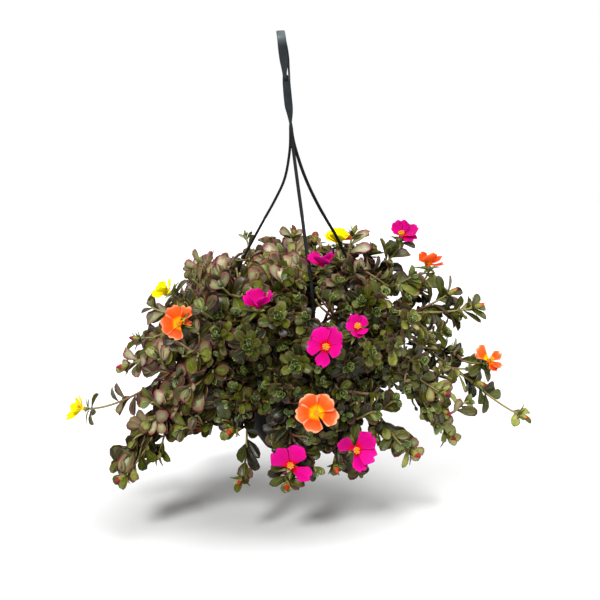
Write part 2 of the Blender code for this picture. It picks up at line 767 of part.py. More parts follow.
def add_pot(parent):
    """The thin pot: a bowl with a flange, a lip, drain holes and three slots for the hanger."""
    profile = [(0.0, POT_FLOOR), *inner_side(POT_FLOOR, POT_HEIGHT)]
    profile += [(POT_RADIUS, POT_HEIGHT), (POT_RADIUS, LIP_LOW)]
    profile += [(POT_RADIUS - LIP_WALL, LIP_LOW), (POT_RADIUS - LIP_WALL, FLANGE_UNDER)]
    profile += [*WALL_OUTSIDE, (0.0, 0.0)]
    pot = turned("pot", profile, material_of("black_plastic", BLACK_PLASTIC, 0.45), parent)
    cuts = []
    for k in range(DRAINS):
        turn = math.tau * (k + 0.5) / DRAINS
        middle = (DRAIN_RING * math.cos(turn), DRAIN_RING * math.sin(turn))
        cuts.append(prism(middle, DRAIN_RADIUS, -2.0, 5.0, 8))
    slot = (LEG_THICKNESS + 2 * GAP + 0.1, LEG_WIDTH + 2 * GAP + 0.1, 8.0)
    for angle in LEG_ANGLES.values():
        out = leg_direction(angle)
        cuts.append(upright_block(out * LEG_RING + UP * POT_HEIGHT, out, slot))
    cut_shapes(pot, cuts, parent)
    return pot


def add_soil(parent):
    """The root ball that fills the pot, a little crowned, with one hole for each stem."""
    low = POT_FLOOR + GAP
    profile = [(0.0, SOIL_TOP + SOIL_CROWN), (50.0, SOIL_TOP + SOIL_CROWN / 2)]
    profile += [*reversed(inner_side(low, SOIL_TOP - SOIL_CROWN, ROOM)), (0.0, low)]
    soil = turned("soil", profile, material_of("potting_soil", POTTING_SOIL, 0.95), parent)
    holes = [
        prism(hole, STEM_RADIUS + ROOM, SOIL_TOP - HOLE_DEPTH, SOIL_TOP + 8, ROD_SIDES)
        for hole, _ in STEMS.values()
    ]
    cut_shapes(soil, holes, parent)
    return soil


def leg_direction(angle):
    """Level direction from the pot's axis, by the angle from the front towards the right."""
    turn = math.radians(angle)
    return np.array((math.sin(turn), -math.cos(turn), 0.0))


def leg_shapes(name):
    """One leg of the hanger, down through its slot, and the foot that catches under the flange."""
    out = leg_direction(LEG_ANGLES[name])
    sideways = np.cross(UP, out)
    middle = FLANGE_UNDER - GAP - FOOT_SIZE[2] / 2
    end = [tuple(out * LEG_RING + UP * height) for height in (STRAIGHT_FROM, middle)]
    stations = [(*place, LEG_WIDTH, LEG_THICKNESS) for place in (*LEG_WAYS[name], *end)]
    foot = upright_block(out * LEG_RING + UP * middle, out, FOOT_SIZE)
    return [ribbon(stations, sideways, square=True), foot]


def hanger_shapes():
    shapes = [ribbon(STRAP, (1, 0, 0)), ribbon(LOOP, (1, 0, 0), LEVEL_STATIONS)]
    centres = np.array([station[:3] for station in COLLAR])
    shapes.append(tube(centres, [station[3] for station in COLLAR], 8))
    for name in LEG_ANGLES:
        shapes += leg_shapes(name)
    return shapes


def add_blooms(room, parent):
    materials = {
        colour: material_of("petals_" + colour, value, 0.5) for colour, value in PETAL_COLOURS.items()
    }
    stamen_material = material_of("stamens", STAMEN_YELLOW, 0.6)
    for name, (colour, centre, face, length, cup, spin) in BLOOMS.items():
        place = (np.array(centre, float), unit(np.array(face, float)))
        cup, spin = math.radians(cup), math.radians(spin)
        for node, shape, material in (
            ("petals_" + name, corolla(*place, length, cup, spin), materials[colour]),
            ("stamens_" + name, stamen_tuft(*place, spin), stamen_material),
        ):
            room.keep(*shape)
            add_object(node, mesh_of(node, *shape), material, parent)


def add_stems(room, parent):
    """The leafy stems: all their rods first, then leaf by leaf whatever has room."""
    grown = {stem: grown_shoots(*plan) for stem, plan in STEMS.items()}
    shapes = {}
    for stem, shoots in grown.items():
        shapes[stem] = [tube(axis, radii, ROD_SIDES) for _, axis, radii, _ in shoots]
        for shape in shapes[stem]:
            room.keep(*shape)
    for number, (stem, shoots) in enumerate(grown.items()):
        for shoot, (route, axis, _, kind) in enumerate(shoots):
            for tries in leaf_tries((number, shoot), route, axis, kind):
                fit = next((whole for whole, clear in tries if room.clear_of(*clear)), None)
                if fit:
                    room.keep(*fit)
                    shapes[stem].append(fit)
    green = material_of("leaves", LEAF_GREEN, 0.5)
    for stem, parts in shapes.items():
        join_shapes("stem_" + stem, parts, green, parent)


def keep_mesh(room, piece):
    points = np.array([vertex.co for vertex in piece.data.vertices]) / MM
    room.keep(points, [tuple(face.vertices) for face in piece.data.polygons])


def main():
    for thing in list(bpy.data.objects):
        bpy.data.objects.remove(thing)
    hang_point = bpy.data.objects.new("hang_point", None)
    bpy.context.collection.objects.link(hang_point)
    hang_point.location = (0.0, 0.0, -HANG_HEIGHT * MM)
    room = Room()
    keep_mesh(room, add_pot(hang_point))
    keep_mesh(room, add_soil(hang_point))
    plastic = material_of("hanger_plastic", HANGER_PLASTIC, 0.4)
    keep_mesh(room, join_shapes("hanger", hanger_shapes(), plastic, hang_point))
    add_blooms(room, hang_point)
    add_stems(room, hang_point)


main()
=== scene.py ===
"""The looks of a hanging basket of flowering portulaca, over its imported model.

Places are worked out in millimetres from the middle of the pot's underside, +Z up, with the side
that is seen first towards -Y. to_part moves them to the part's own frame, in metres, whose
origin is the inside of the top of the hanger's loop.
"""
import math

import bpy
import numpy as np
from mathutils import Matrix


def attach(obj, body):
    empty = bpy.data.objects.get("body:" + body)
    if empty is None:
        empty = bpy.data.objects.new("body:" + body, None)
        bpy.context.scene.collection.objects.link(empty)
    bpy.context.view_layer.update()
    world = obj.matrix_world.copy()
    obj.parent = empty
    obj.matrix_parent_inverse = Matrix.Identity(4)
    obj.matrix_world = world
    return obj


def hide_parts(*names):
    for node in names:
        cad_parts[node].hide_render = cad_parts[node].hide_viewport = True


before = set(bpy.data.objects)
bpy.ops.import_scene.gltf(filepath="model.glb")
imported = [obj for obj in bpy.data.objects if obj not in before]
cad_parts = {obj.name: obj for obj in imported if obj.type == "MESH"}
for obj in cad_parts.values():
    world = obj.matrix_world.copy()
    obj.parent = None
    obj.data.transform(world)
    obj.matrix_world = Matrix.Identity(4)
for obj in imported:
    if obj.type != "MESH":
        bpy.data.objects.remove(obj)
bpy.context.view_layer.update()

MM = 0.001
HANG_HEIGHT = 458.0
POT_RADIUS = 93.0
POT_HEIGHT = 120.0
POT_WALL = 1.8
SOIL_TOP = 104.0
SOIL_CROWN = 2.0
LEG_RING = 87.5
LEAF_LENGTH = 24.0
LEAF_THICKNESS = 1.3
STEM_RADIUS = 2.0
BRANCH_RADIUS = 1.4
TIP_RADIUS = 1.0
GAP = 0.3
GOLDEN = math.radians(137.5)
UP = np.array((0.0, 0.0, 1.0))
HEART = np.array((0.0, 0.0, 95.0))

# Blooms: colour, middle of the bloom's foot, the way it looks, petal length, cup in degrees, spin
BLOOMS = {
    "front": ("magenta", (32, -195, 143), (0.1, -0.97, 0.15), 21, 12, 90),
    "front_small": ("magenta", (65, -170, 155), (0.0, -0.75, 0.65), 15, 22, 54),
    "front_high": ("magenta", (-33, -140, 176), (0.0, -0.45, 0.9), 19, 46, 126),
    "top": ("magenta", (34, -70, 208), (0.1, -0.3, 0.95), 18, 42, 100),
    "top_yellow": ("yellow", (56, 72, 219), (0.05, -0.25, 0.97), 19, 48, 60),
    "top_orange": ("orange", (61, 102, 219), (0.0, 0.1, 1.0), 18, 14, 80),
    "tall": ("magenta", (125, 0, 230), (-0.05, -0.6, 0.8), 20, 35, 96),
    "right_orange": ("orange", (155, 5, 196), (-0.15, -0.3, 0.94), 19, 38, 30),
    "far_right": ("orange", (212, -45, 94), (0.55, -0.6, 0.5), 19, 30, 130),
    "front_orange": ("orange", (21, -190, 77), (0.0, -0.98, 0.18), 24, 6, 54),
    "bottom_left": ("magenta", (-7, -152, 13), (0.0, -0.85, 0.5), 24, 18, 60),
    "bottom_right": ("magenta", (59, -150, 29), (0.25, -0.93, -0.05), 24, 14, 40),
    "left_orange": ("orange", (-115, -118, 160), (-0.3, -0.9, 0.2), 20, 15, 70),
    "left_yellow": ("yellow", (-135, -15, 180), (-0.7, -0.35, 0.6), 19, 40, 20),
    "far_left": ("yellow", (-228, -70, 65), (-0.93, -0.3, 0.2), 18, 38, 10),
    "back_magenta": ("magenta", (-110, 150, 175), (-0.4, 0.75, 0.5), 21, 15, 0),
    "back_orange": ("orange", (75, 165, 165), (0.3, 0.8, 0.5), 21, 18, 30),
}

# Petals of the blooms that the photograph shows well: for each petal the way it points, in degrees
# from the right towards up as seen from the front, how far it turns towards the front, its
# length and its half width
PETALS = {
    "front": (
        (52, 8, 22, 9.5), (109, 4, 20.5, 9.2), (176, 6, 19, 8), (256, 4, 21, 7),
        (350, 30, 18, 8.5),
    ),
    "front_small": (
        (56, 2, 14, 6.8), (105, 0, 15.5, 6), (157, 18, 13.5, 4.6), (258, 52, 12, 6),
        (333, 48, 12, 6),
    ),
    "front_high": (
        (46, -4, 21, 8.2), (101, -8, 20, 8.6), (131, 4, 20, 8), (66, 42, 18, 8), (118, 42, 18, 8),
    ),
    "top": (
        (45, -6, 20, 6), (127, -10, 18.5, 7.4), (143, 8, 19.5, 6), (92, 52, 18, 8.5),
        (62, 26, 18, 7.4),
    ),
    "top_yellow": (
        (41, -6, 19, 7.2), (72, -12, 19, 8.4), (108, -12, 18.5, 8.4), (140, -6, 19, 7),
        (90, 46, 17, 8.5),
    ),
    "tall": (
        (28, 4, 21.5, 10.5), (88, -8, 19, 9), (114, 8, 18.5, 6.4), (133, 20, 18, 4.6),
        (-12, 36, 19, 8.4),
    ),
    "right_orange": (
        (122, 0, 17.5, 6.4), (84, 34, 17, 8.6), (32, -6, 18.5, 6.8), (4, 12, 18.5, 5.6),
        (60, -20, 16, 7),
    ),
    "far_right": (
        (126, 14, 22, 8.2), (30, -10, 17, 5), (-25, 16, 16.5, 6.4), (146, -30, 18, 6),
        (-62, 24, 14, 7.6),
    ),
    "front_orange": (
        (46, 4, 21.5, 9.6), (123, 4, 21.5, 10), (180, 8, 21.5, 8.6), (252, 6, 20.5, 9.2),
        (341, 6, 23, 8.6),
    ),
    "bottom_left": (
        (63, -14, 24, 10), (137, -10, 24, 10), (331, 10, 24.5, 8.4), (208, -62, 15, 8),
        (280, -62, 15, 8),
    ),
    "bottom_right": (
        (35, 6, 24, 10.2), (335, 12, 23.5, 9.6), (286, 8, 25, 7.6), (149, 20, 21, 7.6),
        (220, -52, 14, 6),
    ),
    "left_orange": (
        (112, 2, 20.5, 10), (62, -24, 21, 9), (182, 10, 20, 9.4), (243, 12, 18, 8.4),
        (14, -40, 14, 7),
    ),
    "left_yellow": (
        (82, -8, 16, 5), (145, -6, 15.5, 7), (185, 8, 20, 5.8), (114, 12, 15, 6.6),
        (152, 38, 17, 6.6),
    ),
    "far_left": (
        (102, -4, 15.5, 5.6), (171, 16, 14, 6), (207, 4, 21.5, 5.4), (132, -26, 15, 6),
        (190, 38, 14, 6),
    ),
}

# Balls round the bare stretches of two thin stems: no leaf is rooted there
BARE = ((-207, -70, 62, 19), (193, -47, 72, 11), (226, -43, 50, 17))

# Shoots of each leafy stem. The first one rises from the stem's hole in the soil and the
# others fork from it. A shoot is its tip, what is on the tip, and how far along the first
# shoot it forks.
STEMS = {
    "low_left": ((-56, -28), (
        ((-190, -110, -5), "bud", 0), ("far_left", "bloom", 0.45), ((-155, -100, 12), "bud", 0.6),
        ((-150, -90, 55), "trail", 0.5),
    )),
    "left": ((-64, -10), (
        ((-190, -50, 105), "bud", 0), ((-178, -28, 133), "bud", 0.5),
        ((-142, -78, 85), "rosette", 0.45),
    )),
    "left_high": ((-40, -6), (
        ("left_orange", "bloom", 0), ((-155, -20, 165), "rosette", 0.4),
        ((-112, -140, 130), "rosette", 0.5),
    )),
    "left_top": ((-58, 20), (
        ("left_yellow", "bloom", 0), ((-108, -22, 195), "rosette", 0.4),
        ((-98, 15, 208), "rosette", 0.5),
    )),
    "top_left": ((-30, 22), (
        ((-50, 30, 236), "thin", 0), ((-76, 48, 212), "rosette", 0.4),
        ((-25, 62, 228), "rosette", 0.3),
    )),
    "front_left": ((-44, -38), (
        ((-74, -168, 155), "rosette", 0), ((-42, -184, 146), "rosette", 0.55),
        ((-90, -144, 176), "rosette", 0.4), ((-106, -148, 98), "rosette", 0.5),
    )),
    "front_left_high": ((-14, -34), (
        ("front_high", "bloom", 0), ((-70, -112, 195), "rosette", 0.4),
        ((-8, -118, 200), "rosette", 0.4), ((-12, -168, 170), "rosette", 0.5),
    )),
    "front_low_left": ((-28, -50), (
        ((-62, -125, -10), "bud", 0), ((-70, -125, 45), "bud", 0.6),
        ((-104, -102, 42), "bud", 0.5), ((-66, -150, 80), "trail", 0.6),
    )),
    "front_stem": ((26, -48), (
        ("front", "bloom", 0), ((2, -188, 124), "rosette", 0.6),
        ((16, -172, 170), "rosette", 0.45),
    )),
    "front_low": ((8, -58), (
        ("front_orange", "bloom", 0), ((-14, -176, 96), "rosette", 0.55),
        ((48, -172, 92), "rosette", 0.5),
    )),
    "front_bottom": ((-12, -58), (
        ("bottom_left", "bloom", 0), ((-12, -148, -10), "bud", 0.75),
        ((-20, -128, 36), "trail", 0.5),
    )),
    "front_bottom_right": ((26, -34), (
        ("bottom_right", "bloom", 0), ((40, -146, 5), "bud", 0.75), ((126, -122, 12), "bud", 0.5),
    )),
    "front_right": ((44, -36), (
        ("front_small", "bloom", 0), ((78, -175, 132), "rosette", 0.5),
        ((56, -182, 120), "rosette", 0.55), ((40, -150, 184), "rosette", 0.4),
    )),
    "front_right_high": ((20, -18), (
        ((95, -128, 182), "rosette", 0), ((50, -108, 196), "rosette", 0.35),
        ((122, -138, 158), "rosette", 0.5),
    )),
    "right_front": ((60, -26), (
        ((108, -158, 134), "rosette", 0), ((132, -142, 116), "rosette", 0.5),
        ((160, -112, 73), "bud", 0.45), ((163, -92, 48), "bud", 0.4),
    )),
    "right_low": ((66, -2), (
        ((255, -40, 28), "bud", 0), ("far_right", "bloom", 0.55), ((172, -50, 10), "bud", 0.5),
    )),
    "right": ((62, 20), (
        ((166, -58, 132), "rosette", 0), ((182, -38, 104), "rosette", 0.55),
        ((206, -52, 70), "bud", 0.6), ((148, -78, 80), "rosette", 0.5),
    )),
    "right_high": ((44, 4), (
        ((212, -10, 152), "bud", 0), ((184, 2, 168), "bud", 0.6), ("right_orange", "bloom", 0.45),
    )),
    "top_right": ((38, 30), (
        ("tall", "bloom", 0), ((132, -22, 187), "trail", 0.5), ((110, 12, 198), "rosette", 0.4),
        ((94, 42, 214), "rosette", 0.35), ((76, 22, 242), "bud", 0.3),
    )),
    "top_stem": ((4, 6), (
        ("top", "bloom", 0), ((5, 2, 245), "bud", 0.3), ((74, -62, 205), "rosette", 0.4),
    )),
    "top_back": ((12, 36), (
        ("top_orange", "bloom", 0), ("top_yellow", "bloom", 0.45), ((30, 50, 232), "bud", 0.4),
    )),
    "back_left": ((-42, 46), (
        ("back_magenta", "bloom", 0), ((-158, 95, 120), "rosette", 0.45),
        ((-105, 168, 105), "rosette", 0.5), ((-165, 100, 30), "trail", 0.4),
        ((-72, 120, 195), "rosette", 0.4),
    )),
    "back_right": ((34, 58), (
        ("back_orange", "bloom", 0), ((0, 190, 130), "rosette", 0.5),
        ((120, 150, 100), "rosette", 0.5), ((160, 90, 125), "rosette", 0.4),
        ((30, 185, 35), "trail", 0.5), ((20, 120, 195), "rosette", 0.4),
    )),
}

# Tips of the young shoots between the named ones, on the front and the sides. A scratch
# program placed the first 92 inside the plant's outline, and the others were picked by hand.
YOUNG_TIPS = (
    (-168, -68, 110), (-155, -33, 132), (-152, -97, 74), (-144, -81, 117), (-126, -96, 100),
    (-124, -116, 142), (-120, -108, 46), (-120, -99, 72), (-111, -101, 180), (-104, -116, 62),
    (-97, -140, 128), (-97, -122, 150), (-89, -137, 85), (-83, -94, 182), (-82, -142, 112),
    (-75, -144, 133), (-75, -128, 168), (-74, -82, 207), (-60, -149, 97), (-57, -135, 171),
    (-56, -156, 130), (-53, -144, 69), (-53, -79, 206), (-52, -150, 156), (-50, -148, 112),
    (-49, -126, 189), (-45, -9, 214), (-41, -169, 90), (-39, -118, 199), (-31, -157, 118),
    (-31, -153, 155), (-28, -171, 103), (-27, -170, 139), (-26, -94, 205), (-23, -136, 191),
    (-14, -164, 112), (-11, -95, 210), (-9, -158, 139), (-8, -137, 185), (-6, -158, 154),
    (2, -174, 97), (8, -145, 185), (8, -74, 211), (11, -167, 134), (12, -160, 44), (13, -162, 149),
    (13, -127, 20), (15, -118, 204), (19, -135, 3), (19, -31, 218), (23, -172, 119),
    (25, -153, 155), (27, -133, 189), (28, -172, 103), (31, -145, 32), (38, -163, 113),
    (41, -153, 48), (41, -153, 155), (49, -147, 64), (56, -130, 170), (56, -42, 210),
    (63, -155, 78), (63, -147, 134), (68, -97, -8), (70, -147, 92), (72, -140, 179),
    (82, -148, 66), (83, -131, 150), (84, -125, 35), (86, -152, 114), (86, -136, 168),
    (86, -83, 188), (87, -160, 85), (95, -135, 136), (100, -138, 97), (104, -127, 163),
    (104, -126, 71), (108, -132, 27), (112, -70, 184), (114, -148, 89), (117, -121, 111),
    (123, -84, 170), (129, -98, 123), (130, -107, 94), (138, -115, 59), (140, -106, 150),
    (146, -99, 131), (148, 3, 174), (150, -98, 35), (162, -86, 99), (187, -3, 138), (188, -42, 86),
    (-51, -125, 131), (-45, -127, 108), (-50, -125, 85), (-64, -127, 119), (-33, -129, 93),
    (-70, -125, 96), (-28, -127, 76), (-59, -125, 71), (-158, -62, 122), (-144, -66, 109),
    (-123, -66, 99), (-153, -60, 100), (-102, -66, 92), (-130, -62, 123), (-111, -66, 114),
    (-116, -96, 88), (-138, -96, 80), (-97, -98, 72), (-124, -96, 65), (-154, -96, 55),
    (-173, -96, 34), (-188, -96, 11), (-76, -126, 59), (-62, -126, 41), (118, -20, 128),
    (124, 10, 132), (112, 30, 140), (120, -45, 120), (116, -5, 100), (112, 22, 96), (108, -30, 90),
    (122, 38, 118), (128, 24, 150), (104, 48, 100), (-116, 50, 200), (-108, 40, 196),
    (-166, -85, 44), (184, -90, 60), (126, -100, 60), (-71, -126, 84), (82, -100, 89),
    (94, -100, 85), (75, -100, 77), (90, -100, 98), (-118, 62, 182), (-106, 72, 188),
)

# Clear ways through the plant: x and z where each one passes y = -CLEAR_REACH, the same at
# y = CLEAR_REACH, and its radius. A scratch program found the last 18 by comparing outlines,
# and the others were picked by hand.
CLEAR_REACH = 200
CLEARINGS = (
    (34, 179, 42, 122, 13), (60, 202, 77, 153, 6), (99, 190, 129, 136, 6), (121, 182, 158, 126, 5),
    (139, 183, 182, 128, 5), (109, 142, 142, 73, 6), (100, 104, 130, 23, 3), (79, 87, 102, 0, 3),
    (114, 86, 149, -2, 6), (161, 118, 212, 40, 6), (-112, 133, -152, 61, 6),
    (-164, 117, -222, 40, 6), (-153, 116, -208, 38, 6), (-142, 115, -192, 37, 5),
    (-84, 242, -115, 206, 6), (-73, 249, -101, 215, 7), (-129, 60, -176, -36, 4),
    (-138, 94, -187, 10, 4), (-67, 41, -92, -62, 6), (-89, 45, -122, -57, 7),
    (-55, 57, -77, -40, 9), (-61, 22, -84, -87, 6), (-137, 119, -185, 42, 7), (27, 32, 34, -74, 7),
    (106, 61, 138, -36, 6), (-168, 60, -228, -37, 6), (-134, 172, -182, 113, 6),
    (-5, 248, -9, 214, 6), (-140, 190, -189, 138, 5), (-55, 240, -76, 204, 7),
    (97, 70, 126, -23, 5), (87, 226, 113, 185, 5), (-143, 166, -194, 105, 5),
    (-129, 125, -175, 50, 5), (157, 73, 207, -19, 5), (60, 64, 77, -30, 5),
    (-101, 210, -138, 164, 5), (-30, 246, -44, 212, 6),
)

# The hanger: strap stations as x, y, z, width and thickness, and the three legs' ways down
STRAP = (
    (6.8, 0.0, 360.0, 2.8, 2.6), (6.5, 0.0, 370.0, 6.4, 2.4), (5.7, 0.0, 378.0, 8.8, 2.4),
    (4.9, 0.0, 390.0, 9.1, 2.4), (4.2, 0.0, 405.5, 8.7, 2.4),
)
LOOP = (
    (7.2, 0.0, 396.0, 2.2, 2.0), (7.5, 2.0, 410.0, 2.3, 3.2), (7.2, 6.0, 421.0, 2.6, 3.2),
    (6.0, 8.0, 431.0, 4.8, 2.8), (3.6, 8.6, 441.0, 7.8, 2.4), (1.2, 8.2, 450.0, 9.6, 2.2),
    (0.5, 6.6, 455.4, 9.6, 2.2), (0.0, 3.2, HANG_HEIGHT + 1.1, 9.4, 2.2),
    (0.0, -3.2, HANG_HEIGHT + 1.1, 9.4, 2.2), (0.5, -6.6, 455.4, 9.6, 2.2),
    (1.0, -8.2, 450.0, 9.8, 2.2), (1.6, -8.4, 440.0, 10.0, 2.2), (2.2, -7.6, 430.0, 9.4, 2.2),
    (2.5, -6.0, 421.0, 7.0, 2.0), (2.6, -4.0, 414.5, 5.0, 1.9), (2.6, -2.4, 409.5, 4.4, 1.8),
)
# A thin web behind the slot between the tongue's end and the strap, set there as a sheet that
# stands in for the shade in the slot
SHADE_WEB = ((4.3, 1.2, 400.0, 8.4, 0.9), (4.1, 1.4, 406.0, 8.4, 0.9), (3.0, 1.4, 413.0, 5.4, 0.9))
LEG_ANGLES = {"front": 13.0, "right": 133.0, "left": -107.0}
LEG_WAYS = {
    "front": (
        (7.0, -0.4, 357), (8.7, -3.3, 331), (12, -21, 294), (15.5, -42, 258),
        (18, -58, 230), (21, -73, 202), (23, -84, 169), (22.5, -88, 148),
    ),
    "right": (
        (7.2, 0.3, 357), (9.5, 2, 339), (16, 6, 314), (23.6, 14, 292), (33.6, 24, 269),
        (43.8, 33, 249), (54.5, 43, 229), (63, 51, 209), (69, 57, 192), (71, 61, 165),
    ),
    "left": (
        (6.6, 0.3, 357), (4.8, 1, 331), (-1.7, 3, 301), (-13, 6.5, 278), (-27, 11, 255),
        (-42, 15, 230), (-55, 19, 207), (-64, 21.5, 186), (-75, 24, 155),
    ),
}
# The photograph's eye and the place that it looks at, how far down each leg is seen from there in
# front of the leaves, and the room that they leave beside it
EYE = np.array((9.4, -1400.0, 349.0))
AIM = np.array((9.4, 0.0, 163.8))
LEG_SEEN = {"front": (158.0, 6.0), "right": (205.0, 6.5), "left": (184.0, 9.0)}
LEG_WIDTH = 3.6
LEG_THICKNESS = 2.5
STRAIGHT_FROM = 130.0
FOOT_SIZE = (3.4, 6.0, 4.0)
COLLAR = (
    (7.0, 0.0, 361.0, 1.5), (7.1, 0.0, 355.0, 2.3), (7.6, 0.0, 342.0, 2.5), (8.0, 0.0, 333.0, 2.2),
)

# The pot's outer wall as radius and height, its flange and lip, and its drain holes
FLANGE_UNDER = 118.0
LIP_LOW = 112.0
LIP_WALL = 1.6
POT_FLOOR = 2.5
BASE_RADIUS = 36.5
WALL_OUTSIDE = ((83.5, FLANGE_UNDER), (77.0, 90.0), (66.0, 55.0), (54.0, 26.0), (BASE_RADIUS, 0.0))
DRAIN_RING = 22.0
DRAIN_RADIUS = 4.0
DRAINS = 5


# Finishes

def linear(colour):
    """A colour as the eye reads it, 0 to 255, turned into linear light."""
    share = np.array(colour) / 255
    light = np.where(share < 0.04045, share / 12.92, ((share + 0.055) / 1.055) ** 2.4)
    return (*light.tolist(), 1.0)


class Value:
    """A number that varies over a surface; the operators on it add Math nodes to its finish."""

    def __init__(self, finish, socket):
        self.finish, self.socket = finish, socket

    def _math(self, operation, *values):
        settings = {"operation": operation}
        return self.finish.node("ShaderNodeMath", settings, dict(enumerate(values)))

    def __add__(self, other):
        return self._math("ADD", self, other)

    def __sub__(self, other):
        return self._math("SUBTRACT", self, other)

    def __rsub__(self, other):
        return self._math("SUBTRACT", other, self)

    def __mul__(self, other):
        return self._math("MULTIPLY", self, other)

    def __abs__(self):
        return self._math("ABSOLUTE", self)

    def sine(self):
        return self._math("SINE", self)

    def over(self, other):
        """The greater of the two."""
        return self._math("MAXIMUM", self, other)

    __radd__ = __add__
    __rmul__ = __mul__


class Finish:
    """One material. node adds a node of any type: its settings first, then its sockets.

    A colour is given as red, green and blue from 0 to 255.
    """

    def __init__(self, name, **constants):
        self.material = bpy.data.materials.new(name)
        self.material.use_nodes = True
        self.tree = self.material.node_tree
        self.shader = self.tree.nodes["Principled BSDF"]
        for socket, value in constants.items():
            self.shader.inputs[socket.replace("_", " ")].default_value = value

    def node(self, kind, settings, sockets, out=0):
        """Any node: its type, its settings, and the values or links of its sockets."""
        made = self.tree.nodes.new(kind)
        for setting, value in settings.items():
            if setting == "stops":
                self._stops(made.color_ramp, value)
            else:
                setattr(made, setting, value)
        for socket, value in sockets.items():
            self._feed(made.inputs[socket], value)
        return Value(self, made.outputs[out])

    def _stops(self, ramp, stops):
        while len(ramp.elements) < len(stops):
            ramp.elements.new(0.5)
        for element, (position, colour) in zip(ramp.elements, stops):
            element.position, element.color = position, linear(colour)

    def _feed(self, socket, value):
        if isinstance(value, Value):
            self.tree.links.new(value.socket, socket)
        else:
            socket.default_value = linear(value) if isinstance(value, tuple) else value

    def parts(self, vector):
        """The three numbers of a vector."""
        split = self.node("ShaderNodeSeparateXYZ", {}, {0: vector})
        return [Value(self, split.socket.node.outputs[k]) for k in range(3)]

    def attribute(self, name):
        return self.node("ShaderNodeAttribute", {"attribute_name": name}, {}, out=1)

    def position(self):
        return self.node("ShaderNodeTexCoord", {}, {}, out=3)

    def noise(self, scale, detail=2.0, rough=0.5):
        """Cloudy noise on the object's own coordinates, scale swells a metre."""
        sockets = {"Vector": self.position(), "Scale": scale, "Detail": detail, "Roughness": rough}
        return self.node("ShaderNodeTexNoise", {}, sockets)

    def mix(self, factor, first, second):
        """The first colour, giving way to the second as factor goes from 0 to 1."""
        sockets = {0: factor, 6: first, 7: second}
        return self.node("ShaderNodeMix", {"data_type": "RGBA"}, sockets, out=2)

    def ramp(self, value, *stops):
        return self.node("ShaderNodeValToRGB", {"stops": stops}, {0: value})

    def rise(self, value, low, high):
        """0 below low and 1 above high, smooth between."""
        sockets = {0: value, 1: low, 2: high}
        return self.node("ShaderNodeMapRange", {"interpolation_type": "SMOOTHSTEP"}, sockets)

    def raised(self, height, strength, distance):
        """A Bump node's normal, from a height in shares of the distance."""
        sockets = {"Height": height, "Strength": strength, "Distance": distance}
        return self.node("ShaderNodeBump", {}, sockets)

    def wear(self, colour=None, roughness=None, normal=None):
        """The material, with what varies over it on the shader's sockets."""
        inputs = {"Base Color": colour, "Roughness": roughness, "Normal": normal}
        for socket, value in inputs.items():
            if value is not None:
                self._feed(self.shader.inputs[socket], value)
        return self.material


def leaf_finish():
    """Fleshy leaves: dark olive to grey-green, mauve towards the margin where they blush, with
    thin maroon margins; the pale margins on the young leaves of a heart are a painted highlight,
    and each leaf is darkened towards its root as painted shade."""
    f = Finish("leaf_flesh", Specular_IOR_Level=0.28)
    along, across, side = f.parts(f.attribute("place"))
    tone, age, blush = f.parts(f.attribute("nature"))
    mottle = f.noise(330, 3.0, 0.6)
    broad = f.noise(90)
    off_rib = abs(across) * f.rise(along, 0.0, 0.25)
    off_middle = off_rib.over(f.rise(along, 0.62, 1.0)) + (mottle - 0.5) * 0.12
    green = f.ramp(
        tone * 0.85 + mottle * 0.3 + broad * 0.3 - 0.22,
        (0.0, (8, 12, 0)), (0.3, (28, 35, 0)), (0.6, (80, 88, 14)), (1.0, (186, 190, 100)),
    )
    flush = f.rise(off_middle, 0.3, 0.9) * f.rise(blush, 0.05, 0.85)
    green = f.mix(flush, green, (104, 60, 52))
    pale = f.ramp(
        off_middle, (0.06, (186, 186, 150)), (0.4, (170, 160, 132)), (0.68, (144, 100, 94)),
        (1.0, (126, 48, 66)),
    )
    pale = f.mix(f.rise(broad + mottle * 0.4, 0.5, 0.85) * 0.6, pale, (126, 128, 66))
    under = f.rise(side, 0.25, -0.25)
    paleness = f.rise(blush + broad * 0.35 + under * 0.2 - (1 - tone) * 0.2, 0.5, 0.94)
    colour = f.mix(paleness, green, pale)
    heart = 1 - f.rise(age, 0.2, 0.75)
    young = f.mix(f.rise(along, 0.1, 0.9), (14, 34, 4), (78, 104, 30))
    colour = f.mix(heart * 0.7, colour, young)
    rib = (1 - f.rise(abs(across), 0.02, 0.1)) * f.rise(along, 0.9, 0.5)
    colour = f.mix(rib * 0.25, colour, (160, 160, 96))
    margin = f.rise(off_middle, 0.82, 0.97) * f.rise(along, 0.1, 0.3)
    # the pale margin of heart leaves is a painted highlight, for thick edges catching light; the
    # maroon margin of the others is their own colour
    rim = f.mix(heart, f.mix(paleness, (84, 28, 24), (136, 58, 74)), (176, 186, 128))
    colour = f.mix(margin * 0.8, colour, rim)
    # painted shade: each leaf darkens towards its root, where the leaves crowd
    colour = f.mix((1 - f.rise(along, 0.0, 0.5)) * 0.6, colour, (14, 16, 0))
    creases = f.noise(900) * 0.5 + rib * -0.6 + mottle * 0.5
    return f.wear(colour, 0.24 + mottle * 0.22, f.raised(creases, 0.35, 0.0006))


def stem_finish():
    """Round succulent stems: maroon-brown and streaked, olive towards the tips."""
    f = Finish("stem_skin", Specular_IOR_Level=0.5)
    along, _, _ = f.parts(f.attribute("place"))
    tone, _, _ = f.parts(f.attribute("nature"))
    streaks = f.noise(420, 3.0)
    blend = f.rise(along + tone * 0.4 + streaks * 0.3, 0.55, 1.25)
    colour = f.mix(blend, (104, 58, 42), (124, 116, 58))
    colour = f.mix(f.rise(streaks, 0.55, 0.75) * 0.35, colour, (158, 120, 84))
    return f.wear(colour, 0.42 + streaks * 0.15, f.raised(f.noise(700), 0.3, 0.0004))


